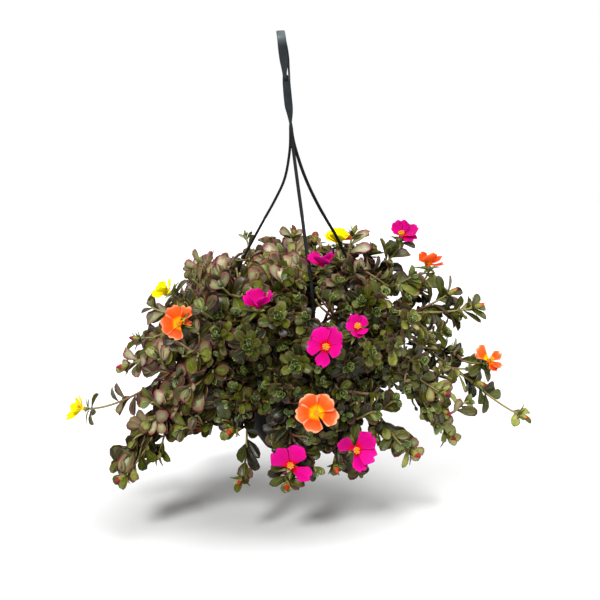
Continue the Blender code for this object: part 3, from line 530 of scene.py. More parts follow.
def bud_finish():
    """Buds: yellow-green cups with red keels, and the rolled petals at their tips."""
    f = Finish("bud_skin", Specular_IOR_Level=0.2)
    along, around, _ = f.parts(f.attribute("place"))
    tone, pick, _ = f.parts(f.attribute("nature"))
    mottle = f.noise(500)
    green = f.mix(tone * 0.6 + mottle * 0.4, (92, 92, 30), (156, 150, 70))
    keel = f.rise((around * 3.0).sine(), 0.75, 1.0)
    green = f.mix(keel * f.rise(along, 0.15, 0.6) * 0.7, green, (132, 52, 38))
    petals = f.ramp(
        pick, (0.0, (84, 4, 28)), (0.33, (136, 8, 52)), (0.66, (150, 26, 10)), (1.0, (200, 64, 16)),
    )
    colour = f.mix(f.rise(along + mottle * 0.16, 0.66, 0.8), green, petals)
    return f.wear(colour, 0.4 + mottle * 0.15, f.raised(mottle, 0.3, 0.0004))


def petal_finish(name, foot, body, edge, vein, rim):
    """Petals: a foot, a body and an edge colour along each petal, a pale rim where the petal has
    one, veins that fan out, and a crepe."""
    f = Finish(name, Specular_IOR_Level=0.05)
    along, across, side = f.parts(f.attribute("place"))
    tone, rimmed, _ = f.parts(f.attribute("nature"))
    cloud = f.noise(180)
    colour = f.mix(f.rise(along + cloud * 0.12, 0.6, 1.1), body, edge)
    fan = (across * 34.0 + cloud * 3.0).sine()
    ribs = f.rise(fan, 0.35, 1.0) * f.rise(along, 1.0, 0.45)
    colour = f.mix(ribs * 0.4 + tone * 0.45 + cloud * 0.15, colour, vein)
    sides = f.rise(abs(across), 0.74, 0.96) * f.rise(along, 0.3, 0.5)
    off_middle = f.rise(along, 0.8, 0.97).over(sides)
    pale = rimmed * (off_middle * 0.85 + f.rise(along + cloud * 0.6, 0.6, 1.3) * 0.15)
    colour = f.mix(pale, colour, rim)
    colour = f.mix(f.rise(along + cloud * 0.06, 0.42, 0.2), colour, foot)
    colour = f.mix(f.rise(side, 0.2, -0.2) * 0.25, colour, edge)
    crepe = f.noise(1100) * 0.5 + fan * 0.25
    return f.wear(colour, 0.5 + cloud * 0.15, f.raised(crepe, 0.3, 0.0005))


def stamen_finish():
    """Filaments and anthers: golden, paler towards the filaments' feet."""
    f = Finish("pollen_gold", Specular_IOR_Level=0.3)
    along, _, _ = f.parts(f.attribute("place"))
    grain = f.noise(2600)
    colour = f.mix(f.rise(along, 0.2, 0.8), (236, 168, 70), (240, 176, 24))
    colour = f.mix(f.rise(grain, 0.45, 0.7) * 0.6, colour, (196, 110, 10))
    return f.wear(colour, 0.7 + grain * 0.1, f.raised(grain, 0.5, 0.0003))


def hanger_finish():
    """Dark grey moulded plastic with a faint blue-green cast, scuffed a little, with a painted
    highlight at the top of the loop, and painted shade that turns the legs black."""
    f = Finish("hanger_moulded", Specular_IOR_Level=0.28)
    cloud = f.noise(120, 3.0, 0.6)
    scuff = f.rise(f.noise(650, 4.0, 0.7), 0.6, 0.72)
    colour = f.mix(cloud, (14, 18, 20), (34, 40, 43))
    colour = f.mix(scuff * 0.2, colour, (86, 94, 96))
    height = f.parts(f.position())[2]
    # painted highlight: the top of the loop is lightened to pale grey-teal, as a reflection on its
    # bend
    colour = f.mix(f.rise(height, -0.016, -0.003) * 0.7, colour, (84, 96, 98))
    # painted shade: below the collar the legs turn near-black; the same mask also makes them
    # rougher
    legs = f.rise(height, -0.08, -0.115)
    colour = f.mix(legs * 0.9, colour, (3, 4, 3))
    roughness = 0.3 + cloud * 0.2 + scuff * 0.15 + legs * 0.4
    return f.wear(colour, roughness, f.raised(f.noise(1500), 0.15, 0.0002))


def pot_finish():
    """Thin black thermoformed plastic: fine grain, water marks and a little dust."""
    f = Finish("pot_black", Specular_IOR_Level=0.04)
    cloud = f.noise(28, 4.0, 0.6)
    grain = f.noise(1700)
    marks = f.rise(f.noise(60, 5.0, 0.7), 0.56, 0.7)
    colour = f.mix(cloud, (2, 3, 2), (8, 9, 8))
    colour = f.mix(marks * 0.05, colour, (60, 56, 50))
    return f.wear(colour, 0.34 + marks * 0.2 + grain * 0.1, f.raised(grain, 0.2, 0.0002))


def soil_finish():
    """Potting soil: dark crumbs of peat, brown bark and a few pale fibres."""
    f = Finish("potting_mix", Specular_IOR_Level=0.2)
    crumbs = f.noise(420, 6.0, 0.7)
    fibres = f.rise(f.noise(900, 3.0, 0.8), 0.62, 0.72)
    colour = f.ramp(crumbs, (0.3, (20, 14, 10)), (0.5, (48, 34, 24)), (0.7, (86, 62, 42)))
    colour = f.mix(fibres * 0.5, colour, (138, 108, 76))
    return f.wear(colour, 0.85 + crumbs * 0.1, f.raised(crumbs + fibres * 0.3, 0.9, 0.003))


def grain_finish():
    """Perlite and bark: each grain has its own place between white and brown."""
    f = Finish("perlite_and_bark", Specular_IOR_Level=0.2)
    pick, _, _ = f.parts(f.attribute("nature"))
    pits = f.noise(1600, 3.0)
    colour = f.ramp(
        pick, (0.0, (222, 220, 212)), (0.35, (206, 202, 190)), (0.45, (110, 78, 52)),
        (1.0, (58, 38, 26)),
    )
    colour = f.mix(f.rise(pits, 0.5, 0.75) * 0.4, colour, (96, 84, 70))
    return f.wear(colour, 0.85, f.raised(pits, 0.7, 0.0008))


def floor_finish():
    """A pale floor with a veil that hardly shows."""
    f = Finish("studio_floor", Specular_IOR_Level=0.0, Roughness=1.0)
    return f.wear(f.mix(f.noise(3.0), (228, 228, 228), (232, 232, 232)))


# A petal's colours: its foot, body, edge, veins and rim
PETAL_COLOURS = {
    "magenta": ((196, 0, 26), (210, 0, 126), (224, 0, 146), (158, 0, 92), (236, 96, 178)),
    "orange": ((252, 176, 6), (240, 82, 12), (244, 100, 36), (222, 58, 2), (255, 190, 150)),
    "yellow": ((250, 212, 0), (255, 238, 0), (255, 246, 8), (244, 212, 0), (250, 236, 60)),
}
FINISHES = {
    "leaf": leaf_finish(), "stem": stem_finish(), "bud": bud_finish(), "stamens": stamen_finish(),
    "hanger": hanger_finish(), "pot": pot_finish(), "soil": soil_finish(),
    "grains": grain_finish(),
    **{name: petal_finish("petals_" + name, *five) for name, five in PETAL_COLOURS.items()},
}


# Directions and paths

def unit(vectors):
    """The vectors made 1 long."""
    return vectors / np.linalg.norm(vectors, axis=-1, keepdims=True)


def smooth(share):
    """The S curve 3t^2 - 2t^3 from 0 to 1, level at both ends."""
    t = np.clip(share, 0.0, 1.0)
    return t * t * (3 - 2 * t)


def turns(count, first=0.0):
    """Even turns round a circle, the first one at a share of a step."""
    return math.tau * (np.arange(count) + first) / count


def between(first, second, turn):
    """The direction at a turn from the first towards the second: first cos + second sin."""
    cosine, sine = np.cos(turn)[..., None], np.sin(turn)[..., None]
    return first * cosine + second * sine


def rolled(first, second, turn):
    """Two directions square to each other, both rolled by a turn, first towards second."""
    return between(first, second, turn), between(second, -first, turn)


def read_at(places, run, table):
    """The rows of a table at places along its run, straight between its own rows."""
    return np.stack([np.interp(places, run, column) for column in table.T], -1)


def cubic(start, out, end, into, t):
    """The cubic from start to end with the given slopes there, at shares t of the way."""
    return (
        start * (2 * t**3 - 3 * t**2 + 1) + out * (t**3 - 2 * t**2 + t)
        + end * (3 * t**2 - 2 * t**3) + into * (t**3 - t**2)
    )


def run_of(points):
    """The length covered at each point of a path."""
    return np.concatenate(([0], np.cumsum(np.linalg.norm(np.diff(points, axis=0), axis=1))))


def evenly(points, step):
    """The path's points spread evenly, about step apart."""
    run = run_of(points)
    count = max(3, round(run[-1] / step) + 1)
    return read_at(np.linspace(0, run[-1], count), run, points)


def point_at(points, reach):
    """The point of a path after a length of it."""
    return read_at(reach, run_of(points), points)


def carried_frames(points):
    """Tangents along a path and one direction square to each, carried along without twist."""
    tangents = unit(np.gradient(points, axis=0))
    side = np.array((1.0, 0.0, 0.0))
    side = unit(side - tangents[0] * side.dot(tangents[0]))
    sides = []
    for tangent in tangents:
        side = unit(side - tangent * side.dot(tangent))
        sides.append(side)
    return tangents, np.array(sides)


# Shapes and pieces

class Shape:
    """Points in millimetres, faces as arrays of corners, a finish, and what the finish reads.

    place is the share along, the share across and the side; nature is three numbers for the
    whole leaf, petal or grain.
    """

    def __init__(self, points, faces, finish, place=None, nature=None):
        self.points, self.finish = np.asarray(points, float), finish
        self.faces = [np.asarray(some, int) for some in faces if len(some)]
        blank = np.zeros((len(self.points), 3))
        self.place = blank if place is None else np.asarray(place, float)
        self.nature = blank if nature is None else np.asarray(nature, float)


def mesh_from(name, shapes):
    """One mesh from the shapes, in metres in the part's own frame, with their numbers."""
    finishes = list(dict.fromkeys(shape.finish for shape in shapes))
    corners, sizes, kinds, offset = [], [], [], 0
    for shape in shapes:
        for faces in shape.faces:
            corners.append((faces + offset).ravel())
            sizes.append(np.full(len(faces), faces.shape[1]))
            kinds.append(np.full(len(faces), finishes.index(shape.finish)))
        offset += len(shape.points)
    corners, sizes, kinds = (np.concatenate(some) for some in (corners, sizes, kinds))
    points = to_part(np.concatenate([shape.points for shape in shapes]))
    mesh = bpy.data.meshes.new(name)
    mesh.vertices.add(len(points))
    mesh.loops.add(len(corners))
    mesh.polygons.add(len(sizes))
    mesh.vertices.foreach_set("co", points.ravel())
    mesh.loops.foreach_set("vertex_index", corners)
    mesh.polygons.foreach_set("loop_start", np.cumsum(sizes) - sizes)
    mesh.polygons.foreach_set("material_index", kinds)
    mesh.update(calc_edges=True)
    mesh.shade_smooth()
    for label in ("place", "nature"):
        numbers = np.concatenate([getattr(shape, label) for shape in shapes])
        layer = mesh.attributes.new(label, "FLOAT_VECTOR", "POINT")
        layer.data.foreach_set("vector", numbers.ravel())
    for finish in finishes:
        mesh.materials.append(FINISHES[finish])
    return mesh


def to_part(points):
    """Places over the pot's underside in millimetres, in the part's own frame in metres."""
    return points * MM - UP * HANG_HEIGHT * MM


def placed(name, data):
    """A new object in the scene that shows the data."""
    thing = bpy.data.objects.new(name, data)
    bpy.context.scene.collection.objects.link(thing)
    return thing


def add_piece(name, shapes, slot, *nodes, sharp=None):
    """The shapes as one piece that rides on the part's body and stands for the CAD nodes named."""
    mesh = mesh_from(name, shapes)
    if sharp:
        mesh.set_sharp_from_angle(angle=math.radians(sharp))
    piece = placed(name, mesh)
    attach(piece, "root")
    if nodes:
        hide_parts(*nodes)
    return piece


def grid_faces(grid):
    """Quads between the rows and columns of a grid of point numbers."""
    corners = (grid[:-1, :-1], grid[1:, :-1], grid[1:, 1:], grid[:-1, 1:])
    return np.stack(corners, -1).reshape(-1, 4)


def split_faces(quads):
    """The quads proper, and the triangles where two neighbouring corners are one point."""
    triangles = []
    for gone, kept in ((0, (1, 2, 3)), (1, (0, 2, 3)), (2, (0, 1, 3)), (3, (0, 1, 2))):
        same = quads[:, gone] == quads[:, (gone + 1) % 4]
        triangles.append(quads[same][:, kept])
    whole = (quads != np.roll(quads, -1, axis=1)).all(axis=1)
    return quads[whole], np.concatenate(triangles)


def blade_grid(rows, columns, blunt):
    """The grid of a closed blade: an upper and a lower face that share their rim.

    It gives the share along, the share across and the side of each point, and the faces. The
    root is one point; the end is one point too, or a full edge where the blade is blunt.
    """
    tall, wide = len(rows), len(columns)
    upper = np.arange(tall * wide).reshape(tall, wide)
    under = upper + tall * wide
    under[:, [0, -1]] = upper[:, [0, -1]]
    under[[0, -1]] = upper[[0, -1]]
    upper[0] = under[0] = 0
    if not blunt:
        upper[-1] = under[-1] = upper[-1, 0]
    used, packed = np.unique(np.stack((upper, under)), return_inverse=True)
    packed = packed.reshape(2, tall, wide)
    along = np.tile(np.repeat(rows, wide), 2)[used]
    across = np.tile(np.tile(columns, tall), 2)[used]
    side = np.repeat((1.0, -1.0), tall * wide)[used]
    side[np.isin(used, np.intersect1d(upper, under))] = 0.0
    across[[0] if blunt else [0, int(packed[0, -1, 0])]] = 0.0
    quads = np.concatenate((grid_faces(packed[0]), grid_faces(packed[1])[:, ::-1]))
    return (along, across, side), split_faces(quads)


LEAF_GRID = blade_grid((0, 0.2, 0.45, 0.7, 0.9, 1), (-1, -0.7, 0, 0.7, 1), False)
PETAL_GRID = blade_grid(np.linspace(0, 1, 13), np.linspace(-1, 1, 15), True)


def repeated(faces, count, points):
    """The faces of one shape again for each of its copies."""
    steps = (np.arange(count) * points)[:, None, None]
    return [(some[None] + steps).reshape(-1, some.shape[1]) for some in faces]


def flipped(faces):
    """The faces turned over."""
    return [some[:, ::-1] for some in faces]


def tube_faces(count, sides):
    """Quads round a tube of rings, and the triangles that close it to the two last points.

    They face outwards where the rings run anticlockwise, seen from the tube's first end.
    """
    grid = np.arange(count * sides).reshape(count, sides)
    around, after, last = grid[0], np.roll(grid[0], -1), (count - 1) * sides
    start, end = (np.full(sides, count * sides + k) for k in (0, 1))
    caps = np.concatenate((
        np.stack((start, around, after), 1), np.stack((end, after + last, around + last), 1),
    ))
    return [grid_faces(np.concatenate((grid, grid[:, :1]), 1)), caps]


def tube_place(shares, turn):
    """What the finish reads on a tube: the share along, the turn round it, and 1."""
    rings = np.stack((np.repeat(shares, len(turn)), np.tile(turn, len(shares))), 1)
    rings = np.concatenate((rings, ((0, 0), (1, 0))))
    return np.concatenate((rings, np.ones((len(rings), 1))), 1)


def rod(points, radii, finish, sides=8, nature=(0.5, 0.5, 0.5)):
    """A round rod: circles of the given radii round a path, closed at both ends by a point."""
    tangents, first = carried_frames(points)
    turn, run = turns(sides), run_of(points)
    circles = between(first[:, None], np.cross(tangents, first)[:, None], turn)
    skin = points[:, None] + circles * np.asarray(radii)[:, None, None]
    everything = np.concatenate((skin.reshape(-1, 3), points[[0, -1]]))
    return Shape(
        everything, flipped(tube_faces(len(points), sides)), finish,
        tube_place(run / run[-1], turn), np.tile(nature, (len(everything), 1)),
    )


def beads(centre, axis, radius, half_length, nature, finish, sides, rings):
    """Closed drops round many axes: at share t their radius is radius * sin(pi t)^0.7."""
    t = np.linspace(0, 1, rings + 2)
    axis, turn = unit(axis), turns(sides)
    steep = np.abs(axis[:, 2:]) >= 0.9
    first = unit(np.cross(axis, np.where(steep, (1.0, 0.0, 0.0), UP)))
    circles = between(first[:, None], np.cross(axis, first)[:, None], turn)
    height = (half_length[:, None] * (2 * t - 1))[..., None]
    girth = (radius[:, None] * np.sin(math.pi * t[1:-1]) ** 0.7)[..., None, None]
    middles = centre[:, None] + axis[:, None] * height
    skin = middles[:, 1:-1, None] + circles[:, None] * girth
    points = np.concatenate((skin.reshape(len(centre), -1, 3), middles[:, [0, -1]]), 1)
    count, each = points.shape[:2]
    return Shape(
        points.reshape(-1, 3), repeated(flipped(tube_faces(rings, sides)), count, each), finish,
        np.tile(tube_place(t[1:-1], turn), (count, 1)), np.repeat(nature, each, axis=0),
    )


def drop(centre, axis, radius, half_length, nature, finish, sides, rings):
    """One such drop."""
    one = (np.array([part]) for part in (centre, axis, radius, half_length, nature))
    return beads(*one, finish, sides, rings)


def leaf_width(along):
    """Share of the half width: narrow at the root, widest past the middle, round at the tip."""
    body = 0.16 + 0.84 * smooth(along / 0.62)
    return body * np.sqrt(np.clip(1 - (np.clip(along - 0.62, 0, None) / 0.38) ** 2, 0, 1))


def bract_width(along):
    """Share of the half width of a narrow leaf: widest before the middle, drawn to a point."""
    return np.sqrt(np.clip(along / 0.4, 0, 1)) * np.clip((1 - along) / 0.62, 0, 1) ** 0.8


def leaves(root, along, face, length, half_width, bend, cup, nature, outline=leaf_width):
    """Closed blades, one for each row of the arrays.

    The middle line is an arc that turns by bend away from the face, so a point at share u lies
    at length * sin(bend u) / bend along and length * (1 - cos(bend u)) / bend below. The sides
    rise by cup times the square of the share across, and the thickness fades to the rim.
    """
    (u, v, side), faces = LEAF_GRID
    length, half_width, bend, cup = (x[:, None] for x in (length, half_width, bend, cup))
    turn = bend * u
    ahead = length * u * np.sinc(turn / math.pi)
    below = length * u * turn / 2 * np.sinc(turn / math.tau) ** 2
    width = half_width * outline(u)
    thick = LEAF_THICKNESS / 2 * side * np.sqrt(np.clip(1 - v * v, 0, 1))
    thick = thick * (0.5 + 0.5 * np.sin(math.pi * u))
    lift = cup * width * v * v + thick * np.minimum(1.0, length / LEAF_LENGTH)
    points = (
        root[:, None] + along[:, None] * (ahead + lift * np.sin(turn))[..., None]
        + face[:, None] * (lift * np.cos(turn) - below)[..., None]
        + np.cross(face, along)[:, None] * (width * v)[..., None]
    )
    count, each = points.shape[:2]
    place = np.tile(np.stack((u, v, side), 1), (count, 1))
    faces, nature = repeated(faces, count, each), np.repeat(nature, each, axis=0)
    return Shape(points.reshape(-1, 3), faces, "leaf", place, nature)


# How the plant grows

BLOOM_PLACES = {
    name: (np.array(centre, float), unit(np.array(face, float)))
    for name, (_, centre, face, *_) in BLOOMS.items()
}
CREST_RADIUS = 108.0
CREST_HEIGHT = 148.0
HANGS_BELOW = 118.0
HOLE_DEPTH = 14.0
SPROUT_HEIGHT = 4.0
FORK_STEP = 5.0
FORK_FOLLOWS = 0.7
FINE_POINTS = 24
ROUTE_STEP = 4.0
FACE_RADIUS = 120.0
FACE_HEIGHT = 90.0
FACE_RISE = 130.0
FACE_RISES = (-0.3, 1.2)
# The slopes of a path at its ends and its crest, in lengths of its chords
TIP_SLOPE = 0.8
RISE_SLOPE = 1.2
CREST_SLOPE = 0.7
FALL_SLOPE = 0.75


def resting_face(tip):
    """The way an ordinary tip looks: outwards, and more and more up the higher it stands."""
    outward = tip * (1, 1, 0)
    far = min(np.linalg.norm(outward) / FACE_RADIUS, 1.0)
    rise = np.clip((tip[2] - FACE_HEIGHT) / FACE_RISE, *FACE_RISES)
    return unit(unit(outward) * far + UP * rise)


def bend_path(start, out, end, into):
    """Points of a cubic from start to end, with the given slopes at its ends."""
    return cubic(start, out, end, into, np.linspace(0, 1, FINE_POINTS)[:, None])


def plain_route(start, heading, tip, face):
    """A path that leaves along heading and comes to its tip along face."""
    chord = np.linalg.norm(tip - start)
    return bend_path(start, heading * chord, tip, face * chord * TIP_SLOPE)


def shoot_route(start, heading, tip, face):
    """A shoot's path. One whose tip hangs low first goes over a crest beyond the pot's rim."""
    if tip[2] > HANGS_BELOW or np.hypot(*start[:2]) > POT_RADIUS:
        return plain_route(start, heading, tip, face)
    outward = unit(tip * (1, 1, 0))
    crest = outward * CREST_RADIUS + UP * CREST_HEIGHT
    rise, fall = np.linalg.norm(crest - start), np.linalg.norm(tip - crest)
    level = outward * min(rise, fall) * CREST_SLOPE
    over = bend_path(start, heading * rise * RISE_SLOPE, crest, level)
    down = bend_path(crest, level, tip, face * fall * FALL_SLOPE)
    return np.concatenate((over, down[1:]))


def tip_and_face(tip):
    """Where a shoot ends and how it points there; a bloom's shoot ends just under its foot."""
    if tip in BLOOMS:
        centre, face = BLOOM_PLACES[tip]
        return centre - face * GAP, face
    tip = np.array(tip, float)
    return tip, resting_face(tip)


def grown_shoots(hole, shoots):
    """Each shoot of a stem as its path and the kind of its tip."""
    grown = []
    for tip, kind, fork in shoots:
        end, face = tip_and_face(tip)
        if grown:
            first = grown[0][0]
            reach = run_of(first)[-1] * fork
            start = point_at(first, reach)
            ahead = unit(point_at(first, reach + FORK_STEP) - start)
            heading = unit(ahead * FORK_FOLLOWS + unit(end - start))
        else:
            start, heading = np.array((*hole, SOIL_TOP + SPROUT_HEIGHT)), UP
        route = evenly(shoot_route(start, heading, end, face), ROUTE_STEP)
        if not grown:
            route = np.concatenate(([(*hole, SOIL_TOP - HOLE_DEPTH + GAP)], route))
        grown.append((route, kind))
    return grown


def spots(*runs):
    """Distances back from a tip, from runs of (first, step, count)."""
    return np.concatenate([first + step * np.arange(count) for first, step, count in runs])


# For each kind of shoot: the leaves' distances back from the tip in mm, and, at some distances,
# the leaf's length and half width in mm, its lean from the shoot and its bend in degrees
LEAFING = {
    "rosette": (spots((0.2, 0.5, 10), (5.6, 1.1, 8), (15, 3.4, 14)), (
        (0, 3.4, 1.4, 8, -20), (2, 6.6, 2.8, 26, -10), (5, 10.5, 4.0, 46, 8),
        (9, 15.0, 4.9, 60, 24), (16, 20.0, 5.4, 70, 34), (50, 22.0, 5.5, 84, 42),
        (90, 21.0, 5.3, 88, 42),
    )),
    "scale": (spots((0.5, 1.8, 4), (7.5, 3.0, 25)), (
        (0, 10.0, 3.2, 10, 0), (3, 17.0, 5.6, 16, 8), (8, 24.0, 7.6, 18, 12),
        (20, 29.0, 8.8, 16, 14), (60, 28.5, 8.6, 16, 16), (100, 23.0, 7.0, 20, 20),
    )),
    "trail": (spots((0.5, 1.2, 5), (7, 3.4, 22)), (
        (0, 6.0, 2.0, 14, 0), (4, 14.0, 4.0, 24, 8), (10, 20.0, 5.8, 24, 16),
        (25, 24.0, 6.8, 24, 20), (60, 24.0, 6.8, 24, 24), (100, 20.0, 5.8, 30, 28),
    )),
    "bud": (spots((10, 1.5, 2), (15, 4.0, 20)), (
        (9, 16.0, 4.8, 34, 12), (14, 19.0, 5.4, 26, 16), (24, 22.0, 6.2, 24, 20),
        (60, 23.0, 6.6, 24, 24), (100, 20.0, 5.8, 30, 28),
    )),
    "thin": (spots((0.5, 1.2, 5), (8, 4.6, 16)), (
        (0, 6.0, 1.5, 14, 0), (6, 12.0, 2.6, 34, 10), (20, 15.0, 3.8, 40, 22),
        (60, 19.0, 4.8, 40, 30),
    )),
    "bloom": (spots((15, 4.0, 20)), (
        (9, 17.0, 3.8, 30, 20), (18, 20.0, 5.4, 28, 24), (60, 21.0, 6.0, 26, 26),
        (100, 20.0, 5.8, 30, 30),
    )),
}
# How far the leaves of a flat shoot turn aside from it, in degrees
SPLAY = {
    "scale": (8, 46), "trail": (28, 78), "bud": (34, 84), "thin": (30, 70), "bloom": (34, 84),
}
# The way that flat shoots turn their leaves' faces, in front and behind, beside outwards
LIGHT_IN_FRONT = (-0.1, -0.55, 0.42)
LIGHT_BEHIND = (0.0, 0.3, 0.5)
BEHIND = 60
OUTWARD = (1, 1, 0.35)
# Every so many leaves of a flat shoot, one lies nearer to its line
AHEAD_EACH = 5
AHEAD_SHARE = 0.25
OUTWARD_PULL = 0.28
PULLED_FROM = 20
LEAF_SHARE = 0.9
HEART_DEPTH = 9
SCALE_HEART_DEPTH = 3
# How much leaves differ: lean and bend in degrees, roll and azimuth in radians, sway as a share,
# and length, width and cup as the least and the range
LEAN_RANGE = 18
BEND_RANGE = 36
ROLL_RANGE = 0.7
AZIMUTH_RANGE = 0.6
SWAY_RANGE = 0.95
LENGTHS = (0.76, 0.44)
WIDTHS = (0.84, 0.32)
CUPS = (0.15, 0.45)
# Room in mm that leaves leave: round the pot, before a bloom's petals, round the petals, and,
# for blooms that stand further back than MIDDLE, above them on their front
POT_ROOM = 1.5
RIM_ROOM = 2
BLOOM_VIEW = 32
PETAL_ROOM = (-1.5, 3)
ABOVE_BLOOM = (2, 22)
MIDDLE = -100
# A leaf hides a leg where it is at least this share of the leg's distance before it
NEARER = 0.998


def habit(tip, kind):
    """Scaly shoots stand up on the top and hang down the left; the others keep their kind."""
    x, y, z = tip
    down_the_left = x < -78 and y < 60 and z < 185
    on_the_top = x < 10 and y < 35 and z > 185
    return "scale" if kind in ("rosette", "trail") and (down_the_left or on_the_top) else kind


def nature_of(roots, age, back, random):
    """Tone, age and blush of leaves by where they stand: dark in front and, as painted shade,
    darker further in; brighter on the right, pale with a mauve blush on the left and on top, and
    green again low down."""
    x, _, z = roots.T
    left, right = smooth((-x - 60) / 90), smooth((x - 50) / 90)
    high = smooth((z - 172) / 40) * (1 - right)
    low = smooth((80 - z) / 60)
    # inner is painted shade: leaves further back from their tip, deep in the plant, get a lower
    # tone and less blush
    inner = smooth((back - 20) / 40)
    tone = 0.34 + 0.16 * left + 0.22 * right + 0.16 * high + 0.02 * low - 0.4 * inner
    tone = tone + 0.6 * (random[0] - 0.5)
    blush = 0.03 + 0.14 * right + 0.58 * left * (1 - 0.75 * low) + 0.54 * high
    blush = blush + 0.14 * low * (1 - left) - 0.2 * inner + 0.85 * (random[1] - 0.5)
    return np.stack((tone, age, np.clip(blush, 0, 1)), 1)


def before_a_bloom(spot):
    """Which spots stand in a bloom's cup, under its petals or, on the front, just before it."""
    blocked = np.zeros(len(spot), bool)
    for name, (_, _, _, length, cup, _) in BLOOMS.items():
        centre, face = BLOOM_PLACES[name]
        away = spot - centre
        ahead = away @ face
        off = np.sqrt(np.clip((away * away).sum(1) - ahead * ahead, 0, None))
        lift = math.sin(math.radians(cup)) * length
        view = (ahead > 1.0 + off * 0.25) & (ahead < lift + BLOOM_VIEW)
        blocked |= view & (off < length * 0.95)
        below, over = PETAL_ROOM
        blocked |= (ahead > below) & (ahead < lift + over) & (off < length * 1.02)
        if centre[1] > MIDDLE and not name.startswith("back"):
            low, high = ABOVE_BLOOM
            above = (away[:, 1] < 0) & (away[:, 2] > low) & (away[:, 2] < high)
            blocked |= above & (np.abs(away[:, 0]) < length * 0.85)
    return blocked


def in_a_clear_way(spot):
    """Which spots stand in one of the clear ways through the plant."""
    blocked = np.zeros(len(spot), bool)
    deep = (spot[:, 1] + CLEAR_REACH) / (2 * CLEAR_REACH)
    for x, z, far_x, far_z, radius in CLEARINGS:
        aside = spot[:, 0] - x - (far_x - x) * deep
        above = spot[:, 2] - z - (far_z - z) * deep
        blocked |= np.hypot(aside, above) < radius
    return blocked


def before_a_leg(spot):
    """Which spots hide the seen stretch of one of the hanger's legs from the eye."""
    blocked = np.zeros(len(spot), bool)
    for way, (low, clear) in zip(LEG_WAYS.values(), LEG_SEEN.values()):
        x, y, z = np.array(way[::-1], float).T
        beyond = (np.interp(spot[:, 2], z, y) - EYE[1]) / (spot[:, 1] - EYE[1])
        height = EYE[2] + (spot[:, 2] - EYE[2]) * beyond
        aside = np.abs(EYE[0] + (spot[:, 0] - EYE[0]) * beyond - np.interp(height, z, x))
        blocked |= (height > low) & (aside < clear) & (beyond > NEARER)
    return blocked


def in_the_way(root, tip):
    """Which leaves stand in the pot or on a bare stretch, or hide what the photograph shows."""
    blocked = np.zeros(len(root), bool)
    for spot in (root * 0.65 + tip * 0.35, root * 0.3 + tip * 0.7, tip):
        in_pot = np.hypot(spot[:, 0], spot[:, 1]) < POT_RADIUS + POT_ROOM
        blocked |= in_pot & (spot[:, 2] < POT_HEIGHT + RIM_ROOM)
        blocked |= before_a_bloom(spot) | in_a_clear_way(spot) | before_a_leg(spot)
    for x, y, z, radius in BARE:
        blocked |= np.linalg.norm(root - (x, y, z), axis=1) < radius
    return blocked


def drawn(least_and_range, draw):
    """A number drawn from its least up over its range."""
    return least_and_range[0] + least_and_range[1] * draw


def square_to(way, vectors):
    """The vectors, each less its part along the way of its row."""
    return vectors - way * (vectors * way).sum(1, keepdims=True)


def shoot_leaves(route, kind, random, vigour=1.0):
    """The leaves of one shoot. Round a rosette they turn by the golden angle from one to the next
    and lean out more the further back they are, pulled a little outwards from the heart of the
    plant. On the other shoots they stand in rows to both sides, and all face outwards and up."""
    kind = habit(route[-1], kind)
    back, table = LEAFING[kind]
    at, *table = np.array(table, float).T
    run = run_of(route)
    back = back[back < run[-1] * LEAF_SHARE]
    long, wide, lean, bend = (np.interp(back, at, column) for column in table)
    count = len(back)
    sources = (route, *carried_frames(route))
    root, tangent, first = (read_at(run[-1] - back, run, source) for source in sources)
    tangent = unit(tangent)
    outward = unit(root - HEART)
    draw = random.random((9, count))
    number = np.arange(count)
    slant = np.radians(lean + LEAN_RANGE * (draw[1] - 0.5))
    if kind in SPLAY:
        light = np.where(root[:, 1:2] < BEHIND, LIGHT_IN_FRONT, LIGHT_BEHIND)
        sway = SWAY_RANGE * (random.random((count, 3)) - 0.5)
        up = unit(outward * OUTWARD + light + sway)
        ahead = unit(square_to(up, tangent) + 0.02)
        low, high = SPLAY[kind]
        splay = np.radians(low + (high - low) * draw[0]) * np.where(number % 2, 1, -1)
        splay = splay * np.where(number % AHEAD_EACH == 0, AHEAD_SHARE, 1.0)
        along, face = rolled(between(ahead, np.cross(up, ahead), splay), up, slant)
    else:
        azimuth = GOLDEN * number + math.tau * random.random() + AZIMUTH_RANGE * (draw[0] - 0.5)
        first = unit(square_to(tangent, first))
        out = between(first, np.cross(tangent, first), azimuth)
        pull = OUTWARD_PULL * smooth(back / PULLED_FROM)[:, None]
        along, behind = rolled(tangent, out, slant)
        along, face = unit(along + outward * pull), outward * pull * 1.5 - behind
    face = unit(square_to(along, face))
    face = between(face, np.cross(along, face), ROLL_RANGE * (draw[2] - 0.5))
    vigour = 1.0 if kind == "scale" else vigour
    right, high = smooth((root[:, 0] - 40) / 50), smooth((root[:, 2] - 140) / 40)
    vigour = vigour * (1 + 0.3 * right * high)
    length = long * drawn(LENGTHS, draw[3]) * vigour
    half_width = wide * drawn(WIDTHS, draw[4]) * vigour
    arch = np.radians(bend + BEND_RANGE * (draw[5] - 0.5))
    cup = drawn(CUPS, draw[6])
    age = smooth(back / (SCALE_HEART_DEPTH if kind == "scale" else HEART_DEPTH))
    nature = nature_of(root, age, back, draw[7:])
    free = ~in_the_way(root, root + along * length[:, None])
    return [some[free] for some in (root, along, face, length, half_width, arch, cup, nature)]


def gathered(sets):
    """Leaves of several shoots as one set of arrays, or none where nothing is left."""
    joined = [np.concatenate(column) for column in zip(*sets)]
    return [leaves(*joined)] if len(joined[0]) else []


ROD_STEP = 2.5
JOINT_STEP = 8.4
JOINT_SWELL = 0.1
NECK_LENGTH = 6
NECK_RADII = (1.2, 2.4)


